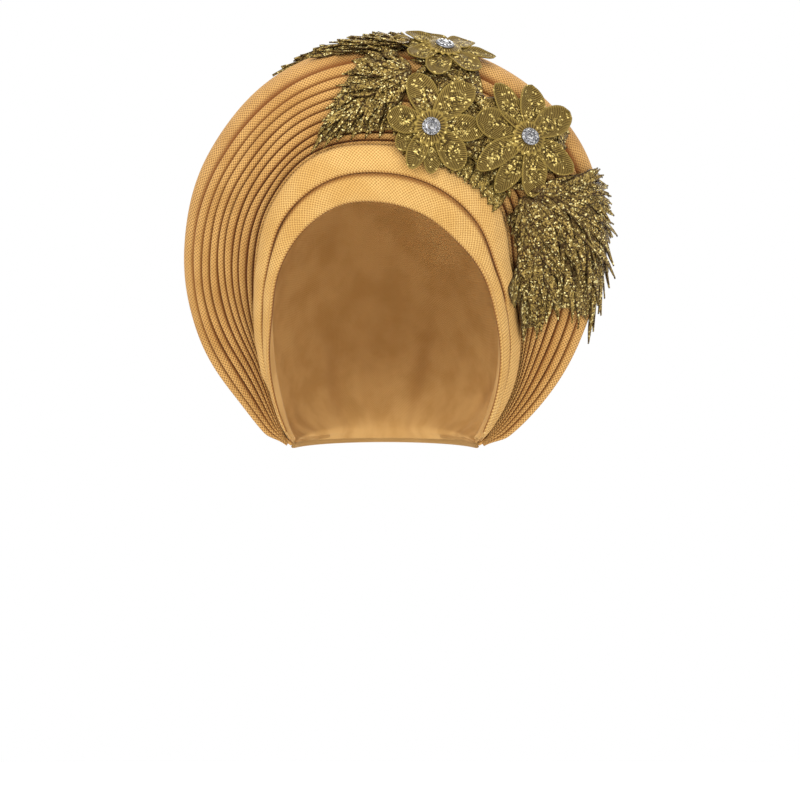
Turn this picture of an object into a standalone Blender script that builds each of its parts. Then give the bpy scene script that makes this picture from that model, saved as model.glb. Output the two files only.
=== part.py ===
"""A gele head tie, tied and shaped: a fitted cap, two folded brow strips, a fan of ten pleats, the back wrap,
and gold lace with three raised flowers and their rhinestone clusters.

Metres, +Z up. The front faces -Y. The origin is the top of the hollow, where the crown of the head sits.
Every curve round the face is given by its angle from straight up, negative on the -X side, and by its radius
about the fan's centre in the front view. A pair (radius, y) at an angle is one point of the tie.
"""

import math

import bmesh
import bpy
import numpy as np
from mathutils import Matrix, Vector

# Head hollow
HEAD_WIDTH = 0.142
HEAD_BACK = 0.094
BROW_FRONT = 0.095
JAW_DROP = 0.176
NAPE_BACK = 0.064
NAPE_RISE = 0.012
NECK_HALF = 0.052

# Outline of the tie, seen from the front
FAN_CENTRE_DROP = 0.0928
RIM_RISE = 0.1495
CORNER_ANGLE = math.radians(147)

# Depths of the four outline curves: how far they stand forward over the brow, and back at the jaw corners
FOLD_FRONT = 0.0975
BAND_FRONT = 0.090
RIM_FRONT = 0.020
FACE_CORNER_Y = 0.000
FOLD_CORNER_Y = 0.004
BAND_CORNER_Y = 0.009
CAP_CORNER_Y = 0.008
RIM_CORNER_Y = 0.024

# Where the cheek panel starts and where the upper strip ends, as angles
PANEL_FROM = math.radians(76)
UPPER_TO = math.radians(96)
UPPER_FROM = math.radians(-128)

# Cloth
CAP_WALL = 0.0018
LOWER_WALL = 0.0026
UPPER_WALL = 0.0030
PANEL_WALL = 0.0016
WRAP_WALL = 0.0020
FAN_WALL = 0.0016
STRIP_CROWN = 0.0014
STRIP_TUCK = 0.0040
FULL_CROWN_WIDTH = 0.012
NAPE_BAND_HEIGHT = 0.0115
NAPE_BAND_WALL = 0.0024
GAP = 0.0003
CAP_EASE = 0.0026
WRAP_STAND_OFF = 0.0005

# Pleats and gathers
PLEATS = 10
PLEAT_RISE = 0.0034
FAN_SET_BACK = 0.0045
FAN_TUCK = 0.0030
GATHERS = 10
GATHER_RISE = 0.0036

# Back of the wrap
WRAP_BACK = 0.108
WRAP_TOP_WIDTH = 0.232

# Gold lace
LACE_WALL = 0.0010
BLADE_RISE = 0.0009
NOTCH_REACH = 0.80
SHOULDER = 0.30
SHOULDER_CUT = 0.12
LEAN_OFF = 1.2
SPRAY_RINGS = (0.10, 0.42, 0.74, 1.0)
FLOWER_RADIUS = 0.0280
FLOWER_PETALS = 8
PETAL_STEPS = 5
PETAL_NOTCH = 0.42
PETAL_WALL = 0.0010
PETAL_CUP = 0.0022
STONE_CLUSTER_RADIUS = 0.0054
SETTING_HEIGHT = 0.0016
RING_STONES = 8
RING_STONE_RADIUS = 0.00130
CENTRE_STONE_RADIUS = 0.0019

# The four outline curves: the angle in degrees, then radii as shares of RIM_RISE.
OUTLINES = (
    # angle, face,  fold,  band,  rim
    (-147, 0.664, 0.670, 0.678, 0.700),
    (-125, 0.546, 0.558, 0.572, 0.688),
    (-100, 0.455, 0.492, 0.518, 0.735),
    (-75, 0.431, 0.480, 0.520, 0.802),
    (-50, 0.415, 0.510, 0.576, 0.888),
    (-25, 0.401, 0.512, 0.620, 0.965),
    (0, 0.372, 0.492, 0.598, 1.000),
    (25, 0.358, 0.481, 0.588, 1.006),
    (50, 0.359, 0.470, 0.575, 0.974),
    (75, 0.396, 0.457, 0.510, 0.876),
    (100, 0.445, 0.500, 0.545, 0.775),
    (125, 0.546, 0.582, 0.616, 0.724),
    (147, 0.664, 0.670, 0.678, 0.700),
)

# Width of each pleat as a share of the fan, inside first, at the side of the face and above the brow.
PLEAT_WIDTHS = (
    # side, above
    (0.13, 0.07),
    (0.10, 0.08),
    (0.09, 0.11),
    (0.07, 0.09),
    (0.10, 0.11),
    (0.07, 0.07),
    (0.12, 0.11),
    (0.10, 0.09),
    (0.12, 0.10),
    (0.10, 0.17),
)

# One pleat across: the place across it, and the height there as a share of its rise.
PLEAT_PROFILE = (
    # across, height
    (0.00, 0.00),
    (0.36, 0.92),
    (0.84, 0.86),
)

# Rows of the cap from the face edge to the nape: how far the row keeps the face edge's own outline, its apex
# as shares of the brow's front or the head's back, and of the jaw drop, and its width as a share of the head's.
CAP_ROWS = (
    # keep, depth, drop, width
    (1.00, -0.93, -0.215, 0.92),
    (0.55, -0.84, -0.120, 0.96),
    (0.20, -0.62, -0.045, 0.99),
    (0.00, -0.32, -0.008, 1.00),
    (0.00, 0.02, -0.000, 1.00),
    (0.00, 0.42, -0.040, 1.00),
    (0.00, 0.76, -0.175, 0.99),
    (0.00, 0.96, -0.380, 0.97),
    (0.00, 0.98, -0.580, 0.91),
    (0.00, 0.80, -0.800, 0.82),
)
# Below them, how far its last two rows lie under the nape line, as shares of the nape band's height.
CAP_HEM_DROPS = (-0.1, 0.8)

# Rows of the back wrap from the rim to the nape: how far the row keeps the rim's own outline, its apex as
# shares of the wrap's back and, about the jaw, of the height from jaw to rim, and its width as a share.
WRAP_ROWS = (
    # keep, depth, rise, width, gather
    (1.00, -0.18, 0.985, 1.00, 0.0),
    (0.86, 0.10, 0.985, 0.99, 0.1),
    (0.66, 0.38, 0.930, 0.97, 0.3),
    (0.45, 0.66, 0.800, 0.93, 0.5),
    (0.26, 0.87, 0.610, 0.88, 0.7),
    (0.12, 0.98, 0.410, 0.80, 0.9),
    (0.04, 0.96, 0.240, 0.70, 1.0),
    (0.00, 0.82, 0.120, 0.59, 1.0),
    (0.00, 0.70, 0.055, 0.50, 0.8),
)

# Lace sprays: the root, then each blade's tip, by angle in degrees and radius as a share of RIM_RISE, and how
# far the tip curls off the cloth as a share of FLOWER_RADIUS.
SPRAY_ROOTS = {
    # angle, radius
    "lace_spray_top": (3.0, 0.945),
    "lace_spray_left": (6.0, 0.850),
    "lace_spray_right": (53.5, 0.680),
}
SPRAY_BLADES = {
    # angle, radius, curl
    "lace_spray_top": (
        (-27.0, 0.968, 0.03),
        (-21.5, 0.990, 0.06),
        (-17.5, 1.008, 0.08),
        (-12.5, 1.020, 0.10),
        (-6.0, 1.032, 0.09),
        (1.7, 1.040, 0.10),
    ),
    "lace_spray_left": (
        (-4.5, 0.925, 0.02),
        (-10.8, 0.838, 0.03),
        (-16.6, 0.757, 0.03),
        (-19.4, 0.702, 0.03),
        (-26.5, 0.632, 0.03),
        (-15.0, 0.640, 0.02),
        (-5.0, 0.635, 0.02),
        (3.0, 0.640, 0.02),
    ),
    "lace_spray_right": (
        (61.7, 0.925, 0.05),
        (66.0, 0.945, 0.09),
        (72.0, 0.915, 0.09),
        (77.5, 0.898, 0.10),
        (83.5, 0.882, 0.12),
        (88.5, 0.832, 0.10),
        (98.5, 0.790, 0.10),
        (95.5, 0.725, 0.06),
        (93.0, 0.650, 0.05),
        (101.5, 0.600, 0.07),
        (93.0, 0.530, 0.05),
        (79.0, 0.540, 0.03),
        (66.0, 0.560, 0.03),
        (57.5, 0.572, 0.02),
    ),
}

# The lace under and between the flowers: its centre, then its edge all round, by angle in degrees and radius.
GROUND_CENTRE = (28.0, 0.780)
GROUND_EDGE = (
    # angle, radius
    (9.5, 0.655),
    (18.0, 0.650),
    (27.0, 0.648),
    (36.0, 0.645),
    (44.0, 0.642),
    (49.5, 0.670),
    (50.0, 0.760),
    (50.5, 0.850),
    (47.0, 0.935),
    (39.0, 0.945),
    (31.5, 0.900),
    (25.5, 0.850),
    (20.5, 0.955),
    (14.0, 0.985),
    (8.5, 0.960),
    (9.5, 0.880),
    (10.5, 0.800),
    (9.5, 0.720),
)
GROUND_NOTCH = 0.94

# Lace edging that lies along the band's top edge: angle in degrees, and its scallop's reach outward.
EDGING_ANGLES = (9.0, 47.0)
EDGING_SCALLOPS = 6
EDGING_WIDTH = 0.0062
EDGING_OVERLAP = 0.0030

# Flowers: centre by angle and radius share, tier of the lace it lies on, turn of the first petal in degrees,
# and how far its stones' setting stands off its petals.
FLOWERS = {
    # angle, radius, tier, turn, stand-off
    "front": (15.0, 0.677, 2, 12.0, 0.0010),
    "right": (41.7, 0.812, 2, 0.0, 0.0014),
    "top": (13.2, 0.965, 2, 22.0, 0.0007),
}

# Length of a flower's petals, in turn, as shares of FLOWER_RADIUS.
PETAL_REACH = (1.00, 0.92, 0.98, 0.90, 1.00, 0.94, 0.97, 0.91)

ARC_STEPS = 32
CAP_STEPS = 28

# Finish of each piece: base colour, roughness, metallic.
FINISHES = {
    "band cloth": ((0.83, 0.50, 0.17), 0.72, 0.0),
    "pleat cloth": ((0.68, 0.38, 0.11), 0.75, 0.0),
    "cap cloth": ((0.62, 0.36, 0.12), 0.80, 0.0),
    "gold lace": ((0.32, 0.25, 0.07), 0.45, 0.6),
    "rhinestone": ((0.80, 0.82, 0.86), 0.12, 0.9),
}


# Curves and the fan's smooth surface


def smooth_column(column, angles):
    """A column of OUTLINES at these angles, through its rows by a cubic whose slope is the rows' mean slope."""
    rows = np.array(OUTLINES, float)
    known = np.radians(rows[:, 0])
    values = rows[:, column] * RIM_RISE
    slopes = np.gradient(values, known)
    at = np.clip(np.searchsorted(known, angles) - 1, 0, len(known) - 2)
    span = known[at + 1] - known[at]
    t = (angles - known[at]) / span
    start = (1 + 2 * t) * (1 - t) ** 2 * values[at] + t * (1 - t) ** 2 * span * slopes[at]
    end = t**2 * (3 - 2 * t) * values[at + 1] + t**2 * (t - 1) * span * slopes[at + 1]
    return start + end


def climb(angles, power):
    """0 at the jaw corners and 1 straight up, the sine of the way along the arc to a power."""
    return np.sin(np.pi * (angles + CORNER_ANGLE) / (2 * CORNER_ANGLE)).clip(0) ** power


def depth(angles, corner, front, power):
    """y of an outline curve, which comes forward from the corner to the front of the brow."""
    return corner - (front + corner) * climb(angles, power)


def face_curve(angles):
    return np.stack([smooth_column(1, angles), depth(angles, FACE_CORNER_Y, BROW_FRONT, 1.0)], axis=-1)


def fold_curve(angles):
    return np.stack([smooth_column(2, angles), depth(angles, FOLD_CORNER_Y, FOLD_FRONT, 1.25)], axis=-1)


def band_curve(angles):
    return np.stack([smooth_column(3, angles), depth(angles, BAND_CORNER_Y, BAND_FRONT, 1.7)], axis=-1)


def rim_curve(angles):
    """The outermost pleat's own line, so its rise still lies inside the outline."""
    radius = smooth_column(4, angles) - 0.5 * PLEAT_RISE
    return np.stack([radius, depth(angles, RIM_CORNER_Y, RIM_FRONT, 1.0)], axis=-1)


def across(start, end):
    """Unit vectors from start to end in the (radius, y) plane, and the ones at a right angle, to the front."""
    along = end - start
    along = along / np.linalg.norm(along, axis=-1, keepdims=True)
    return along, np.stack([along[..., 1], -along[..., 0]], axis=-1)


def slim(angles):
    """How thick the cloth lies, as a share: pressed thinner where all the folds meet at the jaw corners."""
    return (0.4 + 0.6 * climb(angles, 0.6))[:, None]


def in_space(angles, flat):
    """Points of the tie from angles and (radius, y)."""
    radius, y = flat[..., 0], flat[..., 1]
    return np.stack([radius * np.sin(angles), y, radius * np.cos(angles) - FAN_CENTRE_DROP], axis=-1)


def fan_start(angles):
    """Where the pleats come out from behind the upper strip."""
    back = np.array([-FAN_TUCK, UPPER_WALL + FAN_SET_BACK])
    return band_curve(angles) + slim(angles) * back + np.array([0.0, GAP])


def fan_profile(angles, turn):
    """The smooth surface under the pleats: a quarter of an ellipse from the band to the rim, as turn goes from
    0 to a quarter turn. Gives its (radius, y) and the outward unit normal there."""
    start, rim = fan_start(angles), rim_curve(angles)
    wide, deep = rim[:, 0] - start[:, 0], rim[:, 1] - start[:, 1]
    flat = np.stack([start[:, 0] + wide * np.sin(turn), start[:, 1] + deep * (1 - np.cos(turn))], axis=-1)
    normal = np.stack([deep * np.sin(turn), -wide * np.cos(turn)], axis=-1)
    return flat, normal / np.linalg.norm(normal, axis=-1, keepdims=True)


def turn_of(angles, radius):
    """The quarter ellipse's turn at which the fan has this radius. Past the rim it goes on by the length."""
    start, rim = fan_start(angles), rim_curve(angles)
    share = (radius - start[:, 0]) / (rim[:, 0] - start[:, 0])
    return np.arcsin(share.clip(-0.3, 1.0)) + (radius - rim[:, 0]).clip(0) / fan_reach(angles)


# Meshes


def finish_material(name):
    material = bpy.data.materials.get(name)
    if material is None:
        colour, roughness, metallic = FINISHES[name]
        material = bpy.data.materials.new(name)
        material.use_nodes = True
        shader = material.node_tree.nodes["Principled BSDF"]
        shader.inputs["Base Color"].default_value = (*colour, 1.0)
        shader.inputs["Roughness"].default_value = roughness
        shader.inputs["Metallic"].default_value = metallic
    return material


def add_object(name, mesh, material, collection):
    obj = bpy.data.objects.new(name, mesh)
    mesh.materials.append(finish_material(material))
    mesh.shade_smooth()
    collection.objects.link(obj)
    return obj


def grid_faces(rows, columns, first):
    """Quads of a grid whose points are numbered from first, a row at a time."""
    index = first + np.arange(rows * columns).reshape(rows, columns)
    quads = np.stack([index[:-1, :-1], index[:-1, 1:], index[1:, 1:], index[1:, :-1]], axis=-1)
    return quads.reshape(-1, 4).tolist()


def strip_faces(first, second):
    """Quads between two rows of point numbers of the same length."""
    return [[first[i], first[i + 1], second[i + 1], second[i]] for i in range(len(first) - 1)]


def wall_mesh(name, outer, inner):
    """A closed wall between two grids of points. They share their columns, and may differ in rows."""
    (rows, columns), inner_rows = outer.shape[:2], inner.shape[0]
    first = rows * columns
    top = np.arange(first).reshape(rows, columns)
    under = first + np.arange(inner_rows * columns).reshape(inner_rows, columns)
    faces = grid_faces(rows, columns, 0) + grid_faces(inner_rows, columns, first)
    faces += strip_faces(top[0].tolist(), under[0].tolist())
    faces += strip_faces(top[-1].tolist(), under[-1].tolist())
    for side in (0, -1):
        if rows == inner_rows:
            faces += strip_faces(top[:, side].tolist(), under[:, side].tolist())
        else:
            faces.append(top[:, side].tolist() + under[::-1, side].tolist())
    return closed_mesh(name, np.concatenate([outer.reshape(-1, 3), inner.reshape(-1, 3)]), faces)


def closed_mesh(name, points, faces):
    """A mesh of these faces, triangulated, with every face turned outward."""
    mesh = bpy.data.meshes.new(name)
    mesh.from_pydata(points.tolist(), [], faces)
    shape = bmesh.new()
    shape.from_mesh(mesh)
    bmesh.ops.recalc_face_normals(shape, faces=shape.faces)
    bmesh.ops.triangulate(shape, faces=shape.faces, quad_method="SHORT_EDGE")
    shape.to_mesh(mesh)
    shape.free()
    return mesh


def tube_mesh(name, sections):
    """A closed body through a row of ring sections, each the same number of points, capped at both ends."""
    count, ring = sections.shape[:2]
    index = np.arange(count * ring).reshape(count, ring)
    index = np.concatenate([index, index[:, :1]], axis=1)
    faces = []
    for row in range(count - 1):
        faces += strip_faces(index[row].tolist(), index[row + 1].tolist())
    faces.append(index[0, :-1].tolist())
    faces.append(index[-1, :-1].tolist())
    return closed_mesh(name, sections.reshape(-1, 3), faces)


def normals_of(grid):
    """Unit normals of a grid of points, from its differences along and across."""
    down, right = np.gradient(grid, axis=0), np.gradient(grid, axis=1)
    normal = np.cross(down, right)
    return normal / (np.linalg.norm(normal, axis=-1, keepdims=True) + 1e-12)


# Cap, wrap and nape band


def hood_row(way, apex_y, apex_z, half_width, corner):
    """An arc from one jaw corner over the apex to the other. It leaves the corner outward, is widest at its
    half width, and closes over the apex, as a horseshoe does. The corner gives x, y and z."""
    jaw_half, jaw_y, jaw_z = corner
    lean = math.acos(min(1.0, jaw_half / half_width))
    swing = np.pi + lean - way * (np.pi + 2 * lean)
    x = half_width * np.cos(swing)
    lift = (np.sin(swing) + math.sin(lean)) / (1 + math.sin(lean))
    y = jaw_y + (apex_y - jaw_y) * lift
    z = jaw_z + (apex_z - jaw_z) * lift
    return np.stack([x, y, z], axis=-1)


def hood_grid(way, start, rows, corner):
    """Rows of arcs, whose first rows keep more or less of the start curve's own outline."""
    keep = [row[0] for row in rows]
    arcs = np.array([hood_row(way, *row[1:4], corner) for row in rows])
    return arcs + np.array(keep)[:, None, None] * (start - arcs[0])


def room_for_cap(angle):
    """Radius and y of the inner faces of the strips and the fan at one angle, which the cap stays inside."""
    angles = np.array([angle])
    face, fold, start = face_curve(angles), fold_curve(angles), fan_start(angles)
    thin = slim(angles)
    along, out = across(face, fold)
    edge = face - out * LOWER_WALL * thin
    along, out = across(fold, band_curve(angles))
    stack = (UPPER_WALL + PANEL_WALL * panel_share(angles) + LOWER_WALL) * thin + 3 * GAP
    tuck = fold + along * STRIP_TUCK * thin - out * stack
    turns = np.radians([0, 15, 30, 45, 60, 75, 90])
    flat, normal = fan_profile(np.full(len(turns), angle), turns)
    under = flat - normal * FAN_WALL
    line = np.concatenate([edge, tuck, start, under])
    return line[:, 0] - CAP_EASE, np.maximum.accumulate(line[:, 1])


def press_in(inner, outer):
    """Both faces of the cap, moved in towards the fan's centre where the outer one has no room."""
    angles = np.arctan2(outer[..., 0], outer[..., 2] + FAN_CENTRE_DROP)
    radius = np.hypot(outer[..., 0], outer[..., 2] + FAN_CENTRE_DROP)
    limit = np.array([np.interp(y, *room_for_cap(a)[::-1]) for a, y in zip(angles.ravel(), outer[..., 1].ravel())])
    excess = (radius - limit.reshape(radius.shape)).clip(0)
    excess[outer[..., 1] > rim_curve(angles.ravel())[:, 1].reshape(angles.shape)] = 0
    excess[np.abs(angles) > CORNER_ANGLE] = 0
    move = np.stack([np.sin(angles), 0 * angles, np.cos(angles)], axis=-1) * excess[..., None]
    return inner - move, outer - move


def build_cap(collection):
    way = np.linspace(0.03, 0.97, CAP_STEPS + 1)
    angles = CORNER_ANGLE * (2 * way - 1)
    flat = face_curve(angles)
    along, out = across(flat, fold_curve(angles))
    inset = (LOWER_WALL + STRIP_CROWN) * slim(angles) + GAP + CAP_WALL
    start = in_space(angles, flat + along * 0.5 * STRIP_TUCK * slim(angles) - out * inset)
    rows = []
    for keep, back, drop, width in CAP_ROWS:
        reach = BROW_FRONT if back < 0 else HEAD_BACK
        rows.append((keep, back * reach, drop * JAW_DROP, width * HEAD_WIDTH / 2))
    nape_z = NAPE_RISE - JAW_DROP
    for drop in CAP_HEM_DROPS:
        rows.append((0.0, NAPE_BACK, nape_z - drop * NAPE_BAND_HEIGHT, NECK_HALF + GAP))
    inner = hood_grid(way, start, rows, (NECK_HALF, CAP_CORNER_Y, -JAW_DROP))
    outer = inner + face_out(inner) * CAP_WALL
    outer[-1, :, 2] = inner[-1, :, 2]
    inner, outer = press_in(inner, outer)
    return add_object("cap", wall_mesh("cap", outer, inner), "cap cloth", collection)


def face_out(grid):
    """The grid's unit normals, turned away from the middle of the hollow."""
    normal = normals_of(grid)
    middle = np.array([0.0, 0.0, -0.5 * JAW_DROP])
    turned = np.sign((normal * (grid - middle)).sum(axis=-1, keepdims=True))
    return normal * np.where(turned == 0, 1, turned)


def build_wrap(collection):
    way = np.linspace(0.0, 1.0, ARC_STEPS + 1)
    angles = CORNER_ANGLE * (2 * way - 1)
    rim = rim_curve(angles)
    start_flat = rim + np.array([-WRAP_WALL, GAP + WRAP_STAND_OFF])
    start = in_space(angles, start_flat)
    top = RIM_RISE - FAN_CENTRE_DROP
    rows = []
    for keep, back, rise, width, _ in WRAP_ROWS:
        rows.append((keep, back * WRAP_BACK, rise * (JAW_DROP + top) - JAW_DROP, width * WRAP_TOP_WIDTH / 2))
    rows[0] = (1.0, start[ARC_STEPS // 2, 1], start[ARC_STEPS // 2, 2], WRAP_TOP_WIDTH / 2)
    corner = (NECK_HALF + 3 * WRAP_WALL, RIM_CORNER_Y + 2 * WRAP_WALL, NAPE_BAND_HEIGHT / 2 - JAW_DROP)
    outer = hood_grid(way, start, rows, corner)
    normal = face_out(outer)
    fold = np.abs(np.sin(np.pi * GATHERS * way)) ** 0.8 - 0.6
    gather = np.array([row[4] for row in WRAP_ROWS])
    ease = np.sin(np.pi * way) ** 0.5
    outer = outer + normal * (GATHER_RISE * gather[:, None] * fold * ease)[..., None]
    inner = outer - normal * WRAP_WALL
    return add_object("back_wrap", wall_mesh("back_wrap", outer, inner), "pleat cloth", collection)


def build_nape_band(collection):
    """A flat hem round the nape, outside the cap's lower edge."""
    way = np.linspace(0.12, 0.88, CAP_STEPS + 1)
    corner = (NECK_HALF, CAP_CORNER_Y, -JAW_DROP)
    row = hood_row(way, NAPE_BACK, NAPE_RISE - JAW_DROP, NECK_HALF + GAP, corner)
    side = np.stack([row[:, 0] / NECK_HALF**2, (row[:, 1] - CAP_CORNER_Y) / NAPE_BACK**2, 0 * way], axis=-1)
    side /= np.linalg.norm(side, axis=-1, keepdims=True)
    near = row + side * (CAP_WALL + 3 * GAP)
    far = near + side * NAPE_BAND_WALL
    down = np.array([0.0, 0.0, -NAPE_BAND_HEIGHT]) * (0.4 + 0.6 * np.sin(np.pi * way))[:, None]
    belly = far + side * 0.3 * NAPE_BAND_WALL + down / 2
    ring = [near, far, belly, far + down, near + down]
    mesh = tube_mesh("nape_band", np.stack(ring, axis=1))
    return add_object("nape_band", mesh, "cap cloth", collection)


# Brow strips and cheek panel


def strip_ring(angles, start, end, wall, crown):
    """A folded strip across: rounded at both long edges, crowned between them, as rings of eight points."""
    along, out = across(start, end)
    width = np.linalg.norm(end - start, axis=-1, keepdims=True)
    edge = np.minimum(0.5 * wall, 0.25 * width)
    swell = crown * np.minimum(1.0, width / FULL_CROWN_WIDTH)
    ring = []
    for share, raise_ in ((0.0, 0.0), (0.33, 0.9), (0.67, 0.9), (1.0, 0.0)):
        ring.append(start + along * (edge + share * (width - 2 * edge)) + out * swell * raise_)
    ring.append(end - out * 0.5 * wall)
    for share in (1.0, 0.0):
        ring.append(start + along * (edge + share * (width - 2 * edge)) - out * wall)
    ring.append(start - out * 0.5 * wall)
    return np.stack([in_space(angles, point) for point in ring], axis=1)


def ease_in(values, low, high):
    """0 below low and 1 above high, with a smooth step between."""
    t = ((values - low) / (high - low)).clip(0, 1)
    return t * t * (3 - 2 * t)


def panel_share(angles):
    """0 where no cheek panel lies under the upper strip's line, and 1 where it does."""
    return ease_in(angles, PANEL_FROM - 0.5, PANEL_FROM)[:, None]


def build_strips(collection):
    angles = np.linspace(-0.985, 0.985, ARC_STEPS + 1) * CORNER_ANGLE
    face, fold = face_curve(angles), fold_curve(angles)
    along, out = across(fold, band_curve(angles))
    thin = slim(angles)
    sunk = (UPPER_WALL + PANEL_WALL * panel_share(angles)) * thin + 3 * GAP
    end = fold + along * STRIP_TUCK * thin - out * sunk
    rings = strip_ring(angles, face, end, LOWER_WALL * thin, STRIP_CROWN)
    add_object("brow_band_lower", tube_mesh("brow_band_lower", rings), "band cloth", collection)

    angles = np.linspace(UPPER_FROM, UPPER_TO, ARC_STEPS + 1)
    fold, band = fold_curve(angles), band_curve(angles)
    close = 1 - 0.75 * ease_in(angles, UPPER_TO - 0.22, UPPER_TO)[:, None]
    band = fold + (band - fold) * close
    rings = strip_ring(angles, fold, band, UPPER_WALL * slim(angles), STRIP_CROWN)
    add_object("brow_band_upper", tube_mesh("brow_band_upper", rings), "band cloth", collection)

    angles = np.linspace(PANEL_FROM, 0.95 * CORNER_ANGLE, ARC_STEPS // 2 + 1)
    fold, band = fold_curve(angles), band_curve(angles)
    along, out = across(fold, band)
    level = UPPER_WALL * slim(angles) * (1 - 0.5 * ease_in(angles, UPPER_TO, UPPER_TO + 0.2)[:, None]) + GAP
    rings = strip_ring(angles, fold + along * GAP - out * level, band - out * level,
                       PANEL_WALL * slim(angles), 0.0)
    add_object("cheek_panel", tube_mesh("cheek_panel", rings), "band cloth", collection)


# Pleated fan


def pleat_lines(angles):
    """Shares of the fan's radius at which the pleats meet, a row for each angle. Towards the jaw corners the
    inner pleats close up, because they tuck in behind the strip."""
    widths = np.array(PLEAT_WIDTHS, float)
    widths /= widths.sum(axis=0)
    above = climb(angles, 1.6)[:, None]
    mixed = widths[:, 0] * (1 - above) + widths[:, 1] * above
    edges = np.concatenate([np.zeros((len(angles), 1)), np.cumsum(mixed, axis=1)], axis=1)
    bunch = 1 + 0.9 * (1 - climb(angles, 0.9))[:, None]
    return edges**bunch


def build_fan(collection):
    way = np.linspace(0.012, 0.988, ARC_STEPS + 1)
    angles = CORNER_ANGLE * (2 * way - 1)
    lines = pleat_lines(angles)
    rows, walls = [], []
    for pleat in range(PLEATS):
        for place, height in PLEAT_PROFILE:
            share = lines[:, pleat] * (1 - place) + lines[:, pleat + 1] * place
            rows.append(share)
            walls.append(height)
    rows.append(lines[:, -1])
    walls.append(0.0)
    start, rim = fan_start(angles), rim_curve(angles)
    reach = rim[:, 0] - start[:, 0]
    outer = []
    for share, height in zip(rows, walls):
        flat, normal = fan_profile(angles, np.arcsin(share.clip(0, 1)))
        rise = np.minimum(PLEAT_RISE, 0.75 * reach / PLEATS)
        outer.append(in_space(angles, flat + normal * (rise * height)[:, None]))
    inner = []
    for turn in np.linspace(0.0, math.pi / 2, 7):
        flat, normal = fan_profile(angles, np.full(len(angles), turn))
        inner.append(in_space(angles, flat - normal * FAN_WALL))
    mesh = wall_mesh("pleated_fan", np.array(outer), np.array(inner))
    return add_object("pleated_fan", mesh, "pleat cloth", collection)


# Lace


def lace_height(tier):
    """Height of a tier's underside over the fan's smooth surface. Tier 1 lies on the pleats."""
    return PLEAT_RISE + 2 * GAP + (tier - 1) * (LACE_WALL + BLADE_RISE + GAP)


def over_band(angles, flat, height):
    """The same points, brought forward where they would lie in the upper strip instead of on it."""
    fold, band = fold_curve(angles), band_curve(angles)
    slope = (band[:, 1] - fold[:, 1]) / (band[:, 0] - fold[:, 0])
    past = flat[:, 0] - band[:, 0]
    front = band[:, 1] + np.where(past < 0, slope * past, LEAN_OFF * past)
    clear = front - STRIP_CROWN - 2 * GAP - (height - lace_height(1))
    return np.stack([flat[:, 0], np.minimum(flat[:, 1], clear)], axis=-1)


def lay(angles, turns, height):
    """Points this high over the fan by angle and turn. Past the rim the surface runs straight back."""
    shape = np.shape(angles)
    angles, turns, height = np.ravel(angles), np.ravel(turns), np.ravel(height)
    past = (turns - math.pi / 2).clip(0)
    flat, normal = fan_profile(angles, turns.clip(-0.4, math.pi / 2))
    flat = flat + np.stack([-0.18 * past**2, past], axis=-1) * fan_reach(angles)[:, None]
    flat = over_band(angles, flat + normal * height[:, None], height)
    return in_space(angles, flat).reshape(*shape, 3)


def spray_outline(blades):
    """Columns along a spray's edge, notch, shoulder, tip, shoulder: angle, radius, curl, ridge and reach."""
    rows = np.array(blades, float)
    middle = (rows[1:] + rows[:-1]) / 2
    edge = []
    for index, tip in enumerate(rows):
        for side in (-1, 0, 1):
            other = index + side
            if 0 <= other < len(rows):
                near = tip + SHOULDER * (rows[other] - tip)
                edge.append((near[0], near[1], tip[2], 1.0 - abs(side) * 0.6, 1 - abs(side) * SHOULDER_CUT))
        if index < len(middle):
            edge.append((middle[index, 0], middle[index, 1], 0.0, 0.0, NOTCH_REACH))
    return np.array(edge)


def build_spray(name, collection):
    """A toothed fan of pointed blades from one root, ridged along each blade."""
    root_angle, root_radius = SPRAY_ROOTS[name]
    edge = spray_outline(SPRAY_BLADES[name])
    shares = np.array(SPRAY_RINGS)[:, None]
    reach = shares * (1 + (edge[:, 4] - 1) * shares)
    ends = np.radians(np.append(edge[:, 0], root_angle))
    end_turns = turn_of(ends, RIM_RISE * np.append(edge[:, 1], root_radius))
    angles = ends[-1] + reach * (ends[:-1] - ends[-1])
    turns = end_turns[-1] + reach * (end_turns[:-1] - end_turns[-1])
    ridge = edge[:, 3] * (1 - shares) * BLADE_RISE
    base = lace_height(1) + edge[:, 2] * shares**2 * FLOWER_RADIUS
    under = lay(angles, turns, base)
    over = lay(angles, turns, base + LACE_WALL + ridge)
    return add_object(name, wall_mesh(name, over, under), "gold lace", collection)


def build_edging(collection):
    """A scalloped strip of lace that covers the band's top edge between the two lower flowers."""
    way = np.linspace(0, 1, 4 * EDGING_SCALLOPS + 1)
    angles = np.radians(EDGING_ANGLES[0] + way * (EDGING_ANGLES[1] - EDGING_ANGLES[0]))
    scallop = 0.45 + 0.55 * np.abs(np.sin(np.pi * EDGING_SCALLOPS * way)) ** 0.7
    low = band_curve(angles)[:, 0] - EDGING_OVERLAP * scallop
    shares = np.array([0.0, 0.5, 1.0])[:, None]
    radius = low + shares * (EDGING_WIDTH + EDGING_OVERLAP * scallop)
    angles = np.broadcast_to(angles, radius.shape)
    turns = turn_of(angles.ravel(), radius.ravel()).reshape(radius.shape)
    under = lay(angles, turns, np.full(radius.shape, lace_height(1)))
    over = lay(angles, turns, np.full(radius.shape, lace_height(1) + LACE_WALL))
    return add_object("lace_edging", wall_mesh("lace_edging", over, under), "gold lace", collection)


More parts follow.
